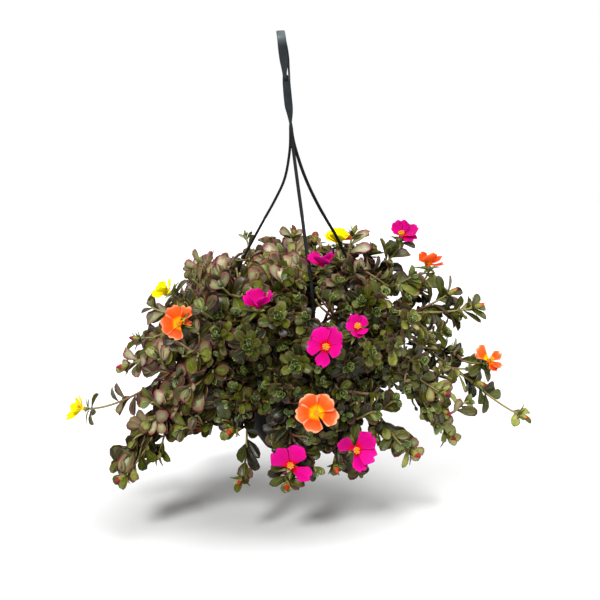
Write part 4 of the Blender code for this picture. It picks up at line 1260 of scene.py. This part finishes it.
def shoot_rod(route, first, kind, random):
    """The shoot's rod, thinner towards its tip, a little swollen at each leaf joint, and wider
    again in the neck of a bloom."""
    fine = evenly(route, ROD_STEP)
    run = run_of(fine)
    radii = np.interp(run, (0, run[-1]), (STEM_RADIUS if first else BRANCH_RADIUS, TIP_RADIUS))
    radii = radii * (1 + JOINT_SWELL * np.cos(math.tau * run / JOINT_STEP) ** 4)
    if kind == "bloom":
        neck = run[-1] - NECK_LENGTH
        radii = np.where(run > neck, np.interp(run, (neck, run[-1]), NECK_RADII), radii)
    return rod(fine, radii, "stem", nature=(random.random(), 0.5, 0.5))


def star(tip, face, count, length, half_width, lean, nature, outline, random):
    """Leaves round a tip, each leaning out from the way that it faces."""
    first = unit(np.cross(face, (0.3, 0.2, 0.9)))
    turn = turns(count, 0.5 * random.random(count))
    out = between(first, np.cross(face, first), turn)
    along, behind = rolled(face, out, np.radians(lean + 24 * (random.random(count) - 0.5)))
    size = 0.8 + 0.4 * random.random(count)
    return leaves(
        np.repeat(tip[None], count, 0), along, -behind, length * size, half_width * size,
        np.radians(10 + 40 * random.random(count)), 0.3 + 0.3 * random.random(count),
        np.tile(nature, (count, 1)), outline,
    )


# Stars of leaves under a bud and under a bloom: how far under, how many, their length, half
# width, lean in degrees, nature and outline. A bloom's two first ones are the cups at its foot.
BUD_STARS = (
    (12.5, 6, 14.0, 2.4, 54, (0.6, 1.0, 0.05), bract_width),
    (10.0, 4, 11.0, 2.6, 22, (0.88, 1.0, 0.1), bract_width),
)
BLOOM_STARS = (
    (4.5, 2, 8.5, 3.4, 52, (0.9, 1.0, 0.1), bract_width),
    (5.5, 5, 16.0, 2.3, 66, (0.62, 1.0, 0.15), bract_width),
    (8.5, 3, 21.0, 5.6, 84, (0.4, 1.0, 0.2), leaf_width),
)


BUD_SIZES = (1.05, 0.3)
BUD_BACK = 4.6
BUD_RADIUS = 2.5
BUD_HALF_LENGTH = 6.2


def bud(tip, face, random):
    """A pointed drop of two sepals, with the rolled petals showing at its end."""
    size = drawn(BUD_SIZES, random.random())
    nature = (random.random(), random.random(), 0.5)
    middle = tip - face * BUD_BACK
    return drop(middle, face, BUD_RADIUS * size, BUD_HALF_LENGTH * size, nature, "bud", 9, 8)


# Blooms

FOOT_HEIGHT = 1.8
PINWHEEL = math.radians(12.0)
PETAL_THICKNESS = 0.5
PETAL_OVERLAP = 1.16
RUFFLES = (0.032, 0.02, 0.012)
CORE_RADIUS = 3.0
CORE_HALF_HEIGHT = 1.1
RIMMED = {"front_orange": 1.0, "far_right": 0.8, "left_orange": 0.7, "right_orange": 0.2}
USUAL_RIM = 0.1


def seed_of(name):
    """A seed for the random numbers of what has this name."""
    return sum(map(ord, name))


def bloom_axes(face, spin):
    """A function that gives the level direction of a bloom at a turn from its spin."""
    first = unit(np.cross(face, (0.0, 0.0, 1.0) if abs(face[2]) < 0.9 else (0.0, 1.0, 0.0)))
    second = np.cross(face, first)
    return lambda turn: between(first, second, spin + turn)


def petal(root, along, beside, top, length, half_width, bowl, finish, random, rim):
    """One petal on its grid: heart-shaped, bowed, its edge ruffled.

    Across it widens to its shoulders; along, the middle of the edge is notched and the sides
    drop back. The edge waves by three sines whose size grows with the square of the share along.
    """
    (u, v, side), faces = PETAL_GRID
    width = (0.22 + 0.78 * smooth(u / 0.74)) * (1 - 0.14 * np.clip((u - 0.74) / 0.26, 0, 1) ** 2)
    notch = 0.06 + 0.12 * random.random()
    notch = notch * np.exp(-(((v - 0.3 * (random.random() - 0.5)) / 0.22) ** 2)) * u**6
    reach = u * (1 - 0.3 * np.abs(v) ** 2.4 * u**2) - notch
    phase = random.random(3) * math.tau
    wide, middling, narrow = RUFFLES
    ruffle = u**2 * (
        wide * np.sin(4.5 * v + phase[0]) + middling * np.sin(9.0 * v + 3 * u + phase[1])
        + narrow * np.sin(17 * v + phase[2]) * u**2
    )
    height = 1.2 * v * v + length * (bowl * 4 * u * (1 - u) + ruffle)
    swell = np.sin(math.pi * np.clip(u * 0.9 + 0.08, 0, 1))
    height = height + PETAL_THICKNESS / 2 * side * swell
    points = (
        root + along * (length * reach)[:, None] + beside * (half_width * width * v)[:, None]
        + top * height[:, None]
    )
    nature = np.tile((random.random(), rim, 0.0), (len(u), 1))
    return Shape(points, faces, finish, np.stack((u, v, side), 1), nature)


def petal_ways(name, face, length, cup, spin, random):
    """Each petal's way, length and half width: from the table, or five alike round the foot."""
    if name in PETALS:
        turn, front, long, wide = np.array(PETALS[name], float).T
        turn, front = np.radians(turn), np.radians(front)
        level = np.cos(front)
        ways = np.stack((np.cos(turn) * level, -np.sin(front), np.sin(turn) * level), 1)
        return list(zip(ways, long, wide))
    outward = bloom_axes(face, spin)
    ways = [outward(turn) * math.cos(cup) + face * math.sin(cup) for turn in turns(5)]
    return [(way, length * (0.95 + 0.07 * random.random()), length * 0.45) for way in ways]


def corolla(name, colour, centre, face, length, cup, spin):
    """Five petals round one foot, each rolled so that its sides pass its neighbours."""
    random = np.random.default_rng(seed_of(name))
    bowl = -0.05 - 0.04 * math.sin(cup)
    shapes = []
    for way, long, wide in petal_ways(name, face, length, cup, spin, random):
        top = unit(face - way * face.dot(way))
        top, beside = rolled(top, np.cross(top, way), PINWHEEL)
        rim = RIMMED.get(name, USUAL_RIM) * (0.6 + 0.4 * random.random())
        foot = centre + face * FOOT_HEIGHT / 2 + unit(way - face * face.dot(way) * 0.9) * 0.4
        wide = wide * PETAL_OVERLAP
        shapes.append(petal(foot, way, beside, top, long, wide, bowl, colour, random, rim))
    middle = centre + face * FOOT_HEIGHT / 2
    core = drop(middle, face, CORE_RADIUS, CORE_HALF_HEIGHT, (0.5, 0.0, 0.0), colour, 12, 5)
    return [*shapes, core]


FILAMENTS = 34
FILAMENT_RADII = (0.2, 0.17, 0.14)
# The brush's radius at its foot and its top, its height, and its pollen heads, the last three as
# the least and the range
BRUSH_FOOT = 1.5
BRUSH_TOP = 3.4
BRUSH_HEIGHTS = (3.4, 1.5)
HEAD_RADII = (0.42, 0.16)
HEAD_HALF_LENGTHS = (0.62, 0.2)
DRUM_RADIUS = 2.0
DRUM_HALF_HEIGHT = 0.75
STIGMA_RADIUS = 0.17
PLAIN = (0.5, 0.5, 0.5)
# A stigma arm's points: their height over the foot and their distance from its axis
STIGMA_WAY = ((0, 0.1), (3.4, 0.3), (4.9, 0.9), (5.3, 1.9))


def stamens(name, centre, face, spin):
    """A brush of bowed filaments, each with a pollen head, round five pale stigma arms."""
    random = np.random.default_rng(seed_of(name) + 7)
    outward = bloom_axes(face, spin)
    draw = random.random((4, FILAMENTS))
    turn = GOLDEN * np.arange(FILAMENTS) + 0.4 * draw[0]
    off_axis = np.sqrt((np.arange(FILAMENTS) + 0.5) / FILAMENTS)
    level = between(outward(0), outward(math.pi / 2), turn)
    foot = centre + face * (FOOT_HEIGHT + GAP)
    low = foot + level * (BRUSH_FOOT * off_axis)[:, None]
    tips = foot + level * (BRUSH_TOP * off_axis)[:, None]
    tips = tips + face * drawn(BRUSH_HEIGHTS, draw[1])[:, None]
    middles = low * 0.5 + tips * 0.5 + face * 0.5
    filaments = [
        rod(np.stack(way), FILAMENT_RADII, "stamens", 4) for way in zip(low, middles, tips)
    ]
    leaning = unit(tips - middles + random.normal(0, 0.4, (FILAMENTS, 3)))
    heads = beads(
        tips, leaning, drawn(HEAD_RADII, draw[2]), drawn(HEAD_HALF_LENGTHS, draw[3]),
        np.tile(PLAIN, (FILAMENTS, 1)), "stamens", 6, 3,
    )
    drum = drop(foot + face * 0.45, face, DRUM_RADIUS, DRUM_HALF_HEIGHT, PLAIN, "stamens", 12, 4)
    arms = []
    for out in map(outward, turns(5, 0.5)):
        way = evenly(np.array([foot + face * h + out * r for h, r in STIGMA_WAY]), 0.9)
        arms.append(rod(way, np.full(len(way), STIGMA_RADIUS), "stamens", 5))
    return [*filaments, heads, drum, *arms]


def add_blooms():
    """Each bloom's petals and its stamens, as two pieces."""
    for name, (colour, _, _, length, cup, spin) in BLOOMS.items():
        centre, face = BLOOM_PLACES[name]
        cup, spin = math.radians(cup), math.radians(spin)
        petals = corolla(name, colour, centre, face, length, cup, spin)
        add_piece("corolla_" + name, petals, "petals_" + colour, "petals_" + name)
        brush = stamens(name, centre, face, spin)
        add_piece("pollen_" + name, brush, "stamens", "stamens_" + name)


# Leafy stems

def dressed(routes, seed, vigour=1.0):
    """Rods, leaves, buds and sepals of shoots, each given as its path, its kind and whether it is
    a stem's first."""
    random = np.random.default_rng(seed)
    shapes, sets = [], []
    for route, kind, first in routes:
        shapes.append(shoot_rod(route, first, kind, random))
        sets.append(shoot_leaves(route, kind, random, vigour))
        tip, face = route[-1], unit(route[-1] - route[-2])
        if kind == "bud":
            shapes.append(bud(tip, face, random))
        stars = {"bud": BUD_STARS, "bloom": BLOOM_STARS}.get(kind, ())
        shapes += [star(tip - face * under, face, *row, random) for under, *row in stars]
    return shapes + gathered(sets)


TIP_WEIGHT = 22
CROWN_TOP = 214
SPIRAL_DROP = 1.35
BACK_FROM = 20
# Counts, spacings and shares of the plant's reach of the spirals behind and in front, and seeds
SPIRAL_BEHIND = (240, 19.0, 0.84, 5)
SPIRAL_IN_FRONT = (420, 14.0, 0.8, 6)


def plant_reach(directions, tips):
    """How far the plant reaches from its heart in each direction: a mean of its tips' distances,
    each weighted by e to the TIP_WEIGHT times (the cosine to its direction - 1)."""
    away = tips - HEART
    distance = np.linalg.norm(away, axis=1)
    weight = np.exp(TIP_WEIGHT * (directions @ (away / distance[:, None]).T - 1))
    return (weight @ distance) / weight.sum(1)


def spiral_tips(tips, count, spacing, share, seed):
    """Tips of more young shoots: points of a golden spiral over a share of the plant's own reach,
    those that crowd another tip or stand in the pot left out."""
    random = np.random.default_rng(seed)
    height = 1 - SPIRAL_DROP * (np.arange(count) + 0.5) / count
    turn = GOLDEN * np.arange(count)
    level = np.sqrt(1 - height**2)
    direction = np.stack((level * np.sin(turn), -level * np.cos(turn), height), 1)
    low_tips = tips[tips[:, 2] < CROWN_TOP]
    reach = plant_reach(direction, low_tips) * (share + 0.1 * random.random(count))
    places = HEART + direction * reach[:, None]
    x, y, z = places.T
    wanted = np.where(y > BACK_FROM, z > 25, (z > 62) & (x < 45) & (x > -150))
    wanted &= (np.hypot(x, y) > POT_RADIUS + 12) | (z > POT_HEIGHT + 30)
    kept = tips
    for place in places[wanted]:
        if np.linalg.norm(kept - place, axis=1).min() > spacing:
            kept = np.concatenate((kept, place[None]))
    return kept[len(tips):]


# A young shoot forks from a point this much nearer to the plant's heart than its tip is, this
# far or further from the tip, and above this height, and follows its parent by this share
YOUNG_DEPTH = 14
YOUNG_LEAST = 16
FORKS_ABOVE = SOIL_TOP - 60
YOUNG_FOLLOWS = 0.6


def young_face(tip):
    """The way a young shoot looks: up on the top, down the slope on the left, else as others."""
    outward = unit(tip - HEART)
    if habit(tip, "rosette") != "scale":
        return resting_face(tip)
    if tip[2] > 185:
        return unit(UP + 0.35 * outward)
    slope = outward * outward[2] - UP
    return unit(unit(slope) + 0.5 * outward + np.array((-0.45, 0.0, 0.0)))


def young_route(tip, points, tangents):
    """A way to the tip from the nearest point of the grown shoots that lies further in."""
    far = np.linalg.norm(tip - HEART) - YOUNG_DEPTH
    reach = np.linalg.norm(points - tip, axis=1)
    inner = np.linalg.norm(points - HEART, axis=1) < far
    inner &= (reach > YOUNG_LEAST) & (points[:, 2] > FORKS_ABOVE)
    near = int(np.where(inner, reach, np.inf).argmin())
    heading = unit(tangents[near] * YOUNG_FOLLOWS + unit(tip - points[near]))
    return evenly(plain_route(points[near], heading, tip, young_face(tip)), ROUTE_STEP)


YOUNG_VIGOUR = 0.86
TRAILS_BELOW = 80
STEM_SEED = 100
YOUNG_SEED = 300
# The pieces that the young shoots are in: from one bearing to another, from the front rightwards
SECTORS = (
    ("front_right", 0, 60), ("right", 60, 130), ("back", 130, 240), ("left", 240, 310),
    ("front_left", 310, 360),
)


def add_stems():
    """The leafy stems, and the young shoots between them in five sectors."""
    plans = {name: grown_shoots(*plan) for name, plan in STEMS.items()}
    for number, (name, grown) in enumerate(plans.items()):
        routes = [(route, kind, k == 0) for k, (route, kind) in enumerate(grown)]
        shoots = dressed(routes, STEM_SEED + number)
        add_piece("leafy_" + name, shoots, "leaves", "stem_" + name)
    routes = [route for grown in plans.values() for route, _ in grown]
    points = np.concatenate(routes)
    tangents = np.concatenate([carried_frames(route)[0] for route in routes])
    chosen = np.array(YOUNG_TIPS, float)
    named = np.concatenate((np.array([route[-1] for route in routes]), chosen))
    behind, inner = (spiral_tips(named, *plan) for plan in (SPIRAL_BEHIND, SPIRAL_IN_FRONT))
    behind, inner = behind[behind[:, 1] > BACK_FROM], inner[inner[:, 1] < BACK_FROM]
    young = np.concatenate((chosen, behind, inner))
    turn = np.degrees(np.arctan2(young[:, 0], -young[:, 1])) % 360
    for number, (sector, low, high) in enumerate(SECTORS):
        found = young[(turn >= low) & (turn < high)]
        kinds = ["rosette" if tip[2] > TRAILS_BELOW else "trail" for tip in found]
        routes = [
            (young_route(tip, points, tangents), kind, False) for tip, kind in zip(found, kinds)
        ]
        shoots = dressed(routes, YOUNG_SEED + number, YOUNG_VIGOUR)
        add_piece("young_shoots_" + sector, shoots, "leaves")


# Pot and soil

POT_STEPS = 120
SOIL_STEPS = 96
EDGE_ROUNDING = 0.9
CLEARANCE = 0.1
SLOT_DEPTH = 8.0
DRAIN_CUT = (-2.0, 5.0)
POT_SHARP = 38
CROWN_SPREAD = 80
SOIL_ROOM = 0.4
SOIL_ROUGH = 0.35
GRAINS = 320
GRAIN_RING = 70
GRAIN_SIZES = (0.8, 1.6)


def turned(profile, finish, steps):
    """A turned skin: the profile of radius and height, from the axis round to the axis again."""
    profile = np.array(profile, float)
    radius, height = profile[1:-1, :1], profile[1:-1, 1:]
    turn = turns(steps)
    level = (radius * np.cos(turn), radius * np.sin(turn), np.repeat(height, steps, 1))
    poles = [(0, 0, profile[0, 1]), (0, 0, profile[-1, 1])]
    points = np.concatenate((np.stack(level, -1).reshape(-1, 3), poles))
    return Shape(points, tube_faces(len(radius), steps), finish)


def rounded(profile, radius):
    """The profile with each inner corner cut twice, so that it catches light as moulded edges."""
    profile = np.array(profile, float)
    points = [profile[0]]
    for before, corner, after in zip(profile[:-2], profile[1:-1], profile[2:]):
        back, ahead = before - corner, after - corner
        cut = min(radius, np.linalg.norm(back) * 0.4, np.linalg.norm(ahead) * 0.4)
        a, b = corner + unit(back) * cut, corner + unit(ahead) * cut
        points += [a, a * 0.25 + corner * 0.5 + b * 0.25, b]
    return np.array([*points, profile[-1]])


def inner_side(low, high, room=0.0):
    """The inside of the pot's wall from one height up to another, as radius and height."""
    radii, heights = zip(*reversed(WALL_OUTSIDE))
    levels = (low, *[height for height in heights if low < height < high], high)
    return [(float(np.interp(z, heights, radii)) - POT_WALL - room, z) for z in levels]


def soil_height(radius):
    """The crowned top of the soil, lower by the square of the distance from its middle."""
    return SOIL_TOP + SOIL_CROWN * (1 - (radius / CROWN_SPREAD) ** 2)


def upright(ring, low, high):
    """A closed block: a level ring of points, carried from one height to another."""
    sides = len(ring)
    walls = [(i, (i + 1) % sides, (i + 1) % sides + sides, i + sides) for i in range(sides)]
    ends = [tuple(reversed(range(sides))), tuple(range(sides, 2 * sides))]
    return np.concatenate((ring + UP * low, ring + UP * high)), [*walls, *ends]


def round_block(centre, radius, low, high, sides):
    """An upright prism. Its corners lie off the pot's own, so that no two edges fall together."""
    turn = turns(sides, 0.37)
    ring = (centre[0] + radius * np.cos(turn), centre[1] + radius * np.sin(turn), 0 * turn)
    return upright(np.stack(ring, 1), low, high)


def square_block(centre, across, size):
    """A box at centre with its first size along across, its second along the level square to it."""
    beside = np.cross(UP, across)
    corners = ((-1, -1), (1, -1), (1, 1), (-1, 1))
    ring = [centre + across * a * size[0] / 2 + beside * b * size[1] / 2 for a, b in corners]
    return upright(np.array(ring), -size[2] / 2, size[2] / 2)


def leg_direction(angle):
    """Level direction from the pot's axis, by the angle from the front towards the right."""
    turn = math.radians(angle)
    return np.array((math.sin(turn), -math.cos(turn), 0.0))


def cut_out(piece, blocks):
    """Takes the blocks out of the piece with Booleans, and gives it the mesh that they make."""
    cutters = []
    for points, faces in blocks:
        mesh = bpy.data.meshes.new("cutter")
        mesh.from_pydata(to_part(points).tolist(), [], faces)
        cutters.append(placed("cutter", mesh))
        cut = piece.modifiers.new("cut", "BOOLEAN")
        cut.operation, cut.object, cut.solver = "DIFFERENCE", cutters[-1], "EXACT"
    bpy.context.view_layer.update()
    evaluated = piece.evaluated_get(bpy.context.evaluated_depsgraph_get())
    finished = bpy.data.meshes.new_from_object(evaluated)
    piece.modifiers.clear()
    piece.data = finished
    for cutter in cutters:
        bpy.data.objects.remove(cutter)


def add_pot():
    """The thin pot: wall, flange and lip turned in one, with drain holes and the hanger's slots."""
    profile = [(0.0, POT_FLOOR), *inner_side(POT_FLOOR, POT_HEIGHT)]
    profile += [(POT_RADIUS, POT_HEIGHT), (POT_RADIUS, LIP_LOW)]
    profile += [(POT_RADIUS - LIP_WALL, LIP_LOW), (POT_RADIUS - LIP_WALL, FLANGE_UNDER)]
    profile += [*WALL_OUTSIDE, (0.0, 0.0)]
    shell = turned(rounded(profile, EDGE_ROUNDING), "pot", POT_STEPS)
    pot = add_piece("pot_shell", [shell], "black_plastic", "pot")
    blocks = []
    for turn in turns(DRAINS, 0.5):
        middle = (DRAIN_RING * math.cos(turn), DRAIN_RING * math.sin(turn))
        blocks.append(round_block(middle, DRAIN_RADIUS, *DRAIN_CUT, 24))
    slot = (LEG_THICKNESS + 2 * GAP + CLEARANCE, LEG_WIDTH + 2 * GAP + CLEARANCE, SLOT_DEPTH)
    for out in map(leg_direction, LEG_ANGLES.values()):
        blocks.append(square_block(out * LEG_RING + UP * POT_HEIGHT, out, slot))
    cut_out(pot, blocks)
    pot.data.set_sharp_from_angle(angle=math.radians(POT_SHARP))


def add_soil():
    """The root ball, its top crumbly and crowned, with grains of perlite and bark on it."""
    low = POT_FLOOR + GAP
    side = inner_side(low, SOIL_TOP - SOIL_CROWN, SOIL_ROOM)
    crown = [(0.0, SOIL_TOP + SOIL_CROWN)]
    crown += [(radius, soil_height(radius)) for radius in np.linspace(4, 74, 26)]
    ball = turned([*crown, *reversed(side), (0.0, low)], "soil", SOIL_STEPS)
    x, y, z = ball.points.T
    random = np.random.default_rng(11)
    waves = random.normal(0, 1, (10, 2)) * SOIL_ROUGH
    phases = random.random(10) * math.tau
    rough = sum(np.sin(x * a + y * b + p) for (a, b), p in zip(waves, phases)) * SOIL_ROUGH
    ball.points[:, 2] = z + np.where(z > SOIL_TOP - 1, rough, 0.0)
    radius = GRAIN_RING * np.sqrt(random.random(GRAINS))
    turn = random.random(GRAINS) * math.tau
    centre = (radius * np.cos(turn), radius * np.sin(turn), soil_height(radius) + 0.3)
    pick = random.random(GRAINS)
    size = drawn(GRAIN_SIZES, random.random(GRAINS))
    bark = pick > 0.4
    grains = beads(
        np.stack(centre, 1), random.normal(0, 1, (GRAINS, 3)), size, size * (1 + 1.2 * bark),
        np.stack((pick, pick, pick), 1), "grains", 5, 3,
    )
    add_piece("root_ball", [ball, grains], "potting_soil", "soil")


# Hanger

HANGER_SHARP = 50


def spline(stations, steps):
    """Stations joined by cubics whose slope at each is the mean of its neighbours'."""
    stations = np.array(stations, float)
    slope = np.gradient(stations, axis=0)
    t = np.linspace(0, 1, steps, endpoint=False)[:, None, None]
    curve = cubic(stations[:-1], slope[:-1], stations[1:], slope[1:], t)
    joined = curve.transpose(1, 0, 2).reshape(-1, stations.shape[1])
    return np.concatenate((joined, stations[-1:]))


def strap(stations, widthways, steps=5, sides=20):
    """A flat strap: a rounded oblong, x = a |cos|^0.35, y = b |sin|^0.6, carried along a spline."""
    fine = spline(stations, steps)
    centres, half = fine[:, :3], fine[:, 3:5] / 2
    wide = np.array(widthways, float)
    thick = unit(np.cross(wide, unit(np.gradient(centres, axis=0))))
    turn = turns(sides, 0.5)
    flat = np.sign(np.cos(turn)) * np.abs(np.cos(turn)) ** 0.35
    deep = np.sign(np.sin(turn)) * np.abs(np.sin(turn)) ** 0.6
    rings = (
        centres[:, None] + wide * (half[:, :1] * flat)[..., None]
        + thick[:, None] * (half[:, 1:] * deep)[..., None]
    )
    points = np.concatenate((rings.reshape(-1, 3), centres[[0, -1]]))
    return Shape(points, tube_faces(len(fine), sides), "hanger")


def add_hanger():
    """The loop and its front tongue, the strap, the collar and three legs with their feet."""
    shapes = [strap(way, (1, 0, 0)) for way in (STRAP, LOOP, SHADE_WEB)]
    collar = np.array(COLLAR)
    shapes.append(rod(collar[:, :3], collar[:, 3], "hanger", 16))
    foot_height = FLANGE_UNDER - GAP - FOOT_SIZE[2] / 2
    for name, angle in LEG_ANGLES.items():
        out = leg_direction(angle)
        end = [tuple(out * LEG_RING + UP * height) for height in (STRAIGHT_FROM, foot_height)]
        stations = [(*place, LEG_WIDTH, LEG_THICKNESS) for place in (*LEG_WAYS[name], *end)]
        shapes.append(strap(stations, np.cross(UP, out), 4, 12))
        points, faces = square_block(out * LEG_RING + UP * foot_height, out, FOOT_SIZE)
        shapes.append(Shape(points, [np.array(faces)], "hanger"))
    add_piece("moulded_hanger", shapes, "hanger_plastic", "hanger", sharp=HANGER_SHARP)


# Studio

FLOOR_HEIGHT = -0.532
FLOOR_REACH = 5
WORLD_FILL = 0.09
# Soft lamps: the way towards each one, its strength and its width in degrees
SUNS = {
    "overhead": ((0.48, -0.22, 1.0), 3.5, 64),
    "from_the_front": ((-0.3, -1.0, 0.75), 3.1, 14),
    "from_behind": ((-0.5, 0.9, 0.9), 0.8, 40),
}
CAMERA_ROLL = math.radians(-2.312)
CAMERA_LENS = 75.64
CAMERA_SENSOR = 36.0


def pose(right, high, back, place):
    """The placing of a thing whose own axes point right, high and back."""
    matrix = np.eye(4)
    matrix[:3, :3], matrix[:3, 3] = np.stack((right, high, back), 1), place
    return Matrix(matrix.tolist())


def add_camera():
    """The photograph's camera: it looks a little down, and leans so that the hanger tips left."""
    data = bpy.data.cameras.new("camera")
    data.sensor_width, data.lens = CAMERA_SENSOR, CAMERA_LENS
    camera = placed("camera", data)
    ahead = unit(to_part(AIM) - to_part(EYE))
    right = unit(np.cross(ahead, UP))
    right, high = rolled(right, np.cross(right, ahead), CAMERA_ROLL)
    camera.matrix_world = pose(right, high, -ahead, to_part(EYE))
    bpy.context.scene.camera = camera


def add_floor():
    """A plain square floor under the basket."""
    ways = ((-1, -1), (1, -1), (1, 1), (-1, 1))
    corners = [(x * FLOOR_REACH, y * FLOOR_REACH, FLOOR_HEIGHT) for x, y in ways]
    mesh = bpy.data.meshes.new("studio_floor")
    mesh.from_pydata(corners, [], [(0, 1, 2, 3)])
    mesh.materials.append(floor_finish())
    placed("studio_floor", mesh)


def add_world():
    """A white room: what the camera sees of it is white, and it lights the plant more softly."""
    world = bpy.data.worlds.new("white_studio")
    bpy.context.scene.world = world
    world.use_nodes = True
    tree = world.node_tree
    seen, fill = tree.nodes["Background"], tree.nodes.new("ShaderNodeBackground")
    for background, strength in ((seen, 1.0), (fill, WORLD_FILL)):
        background.inputs["Color"].default_value = (1.0, 1.0, 1.0, 1.0)
        background.inputs["Strength"].default_value = strength
    rays = tree.nodes.new("ShaderNodeLightPath")
    either = tree.nodes.new("ShaderNodeMixShader")
    sources = (rays.outputs["Is Camera Ray"], fill.outputs[0], seen.outputs[0])
    for source, socket in zip(sources, either.inputs):
        tree.links.new(source, socket)
    tree.links.new(either.outputs[0], tree.nodes["World Output"].inputs["Surface"])


def add_sun(name, towards, strength, softness):
    """A soft lamp that shines from a direction, given as a vector towards it."""
    light = bpy.data.lights.new(name, "SUN")
    light.energy, light.angle = strength, math.radians(softness)
    back = unit(np.array(towards, float))
    across = unit(np.cross((0.0, 1.0, 0.02), back))
    placed(name, light).matrix_world = pose(across, np.cross(back, across), back, back * 2.0)


add_camera()
add_floor()
add_world()
for lamp, facts in SUNS.items():
    add_sun(lamp, *facts)
add_pot()
add_soil()
add_hanger()
add_blooms()
add_stems()
bpy.context.scene.view_settings.view_transform = "Standard"
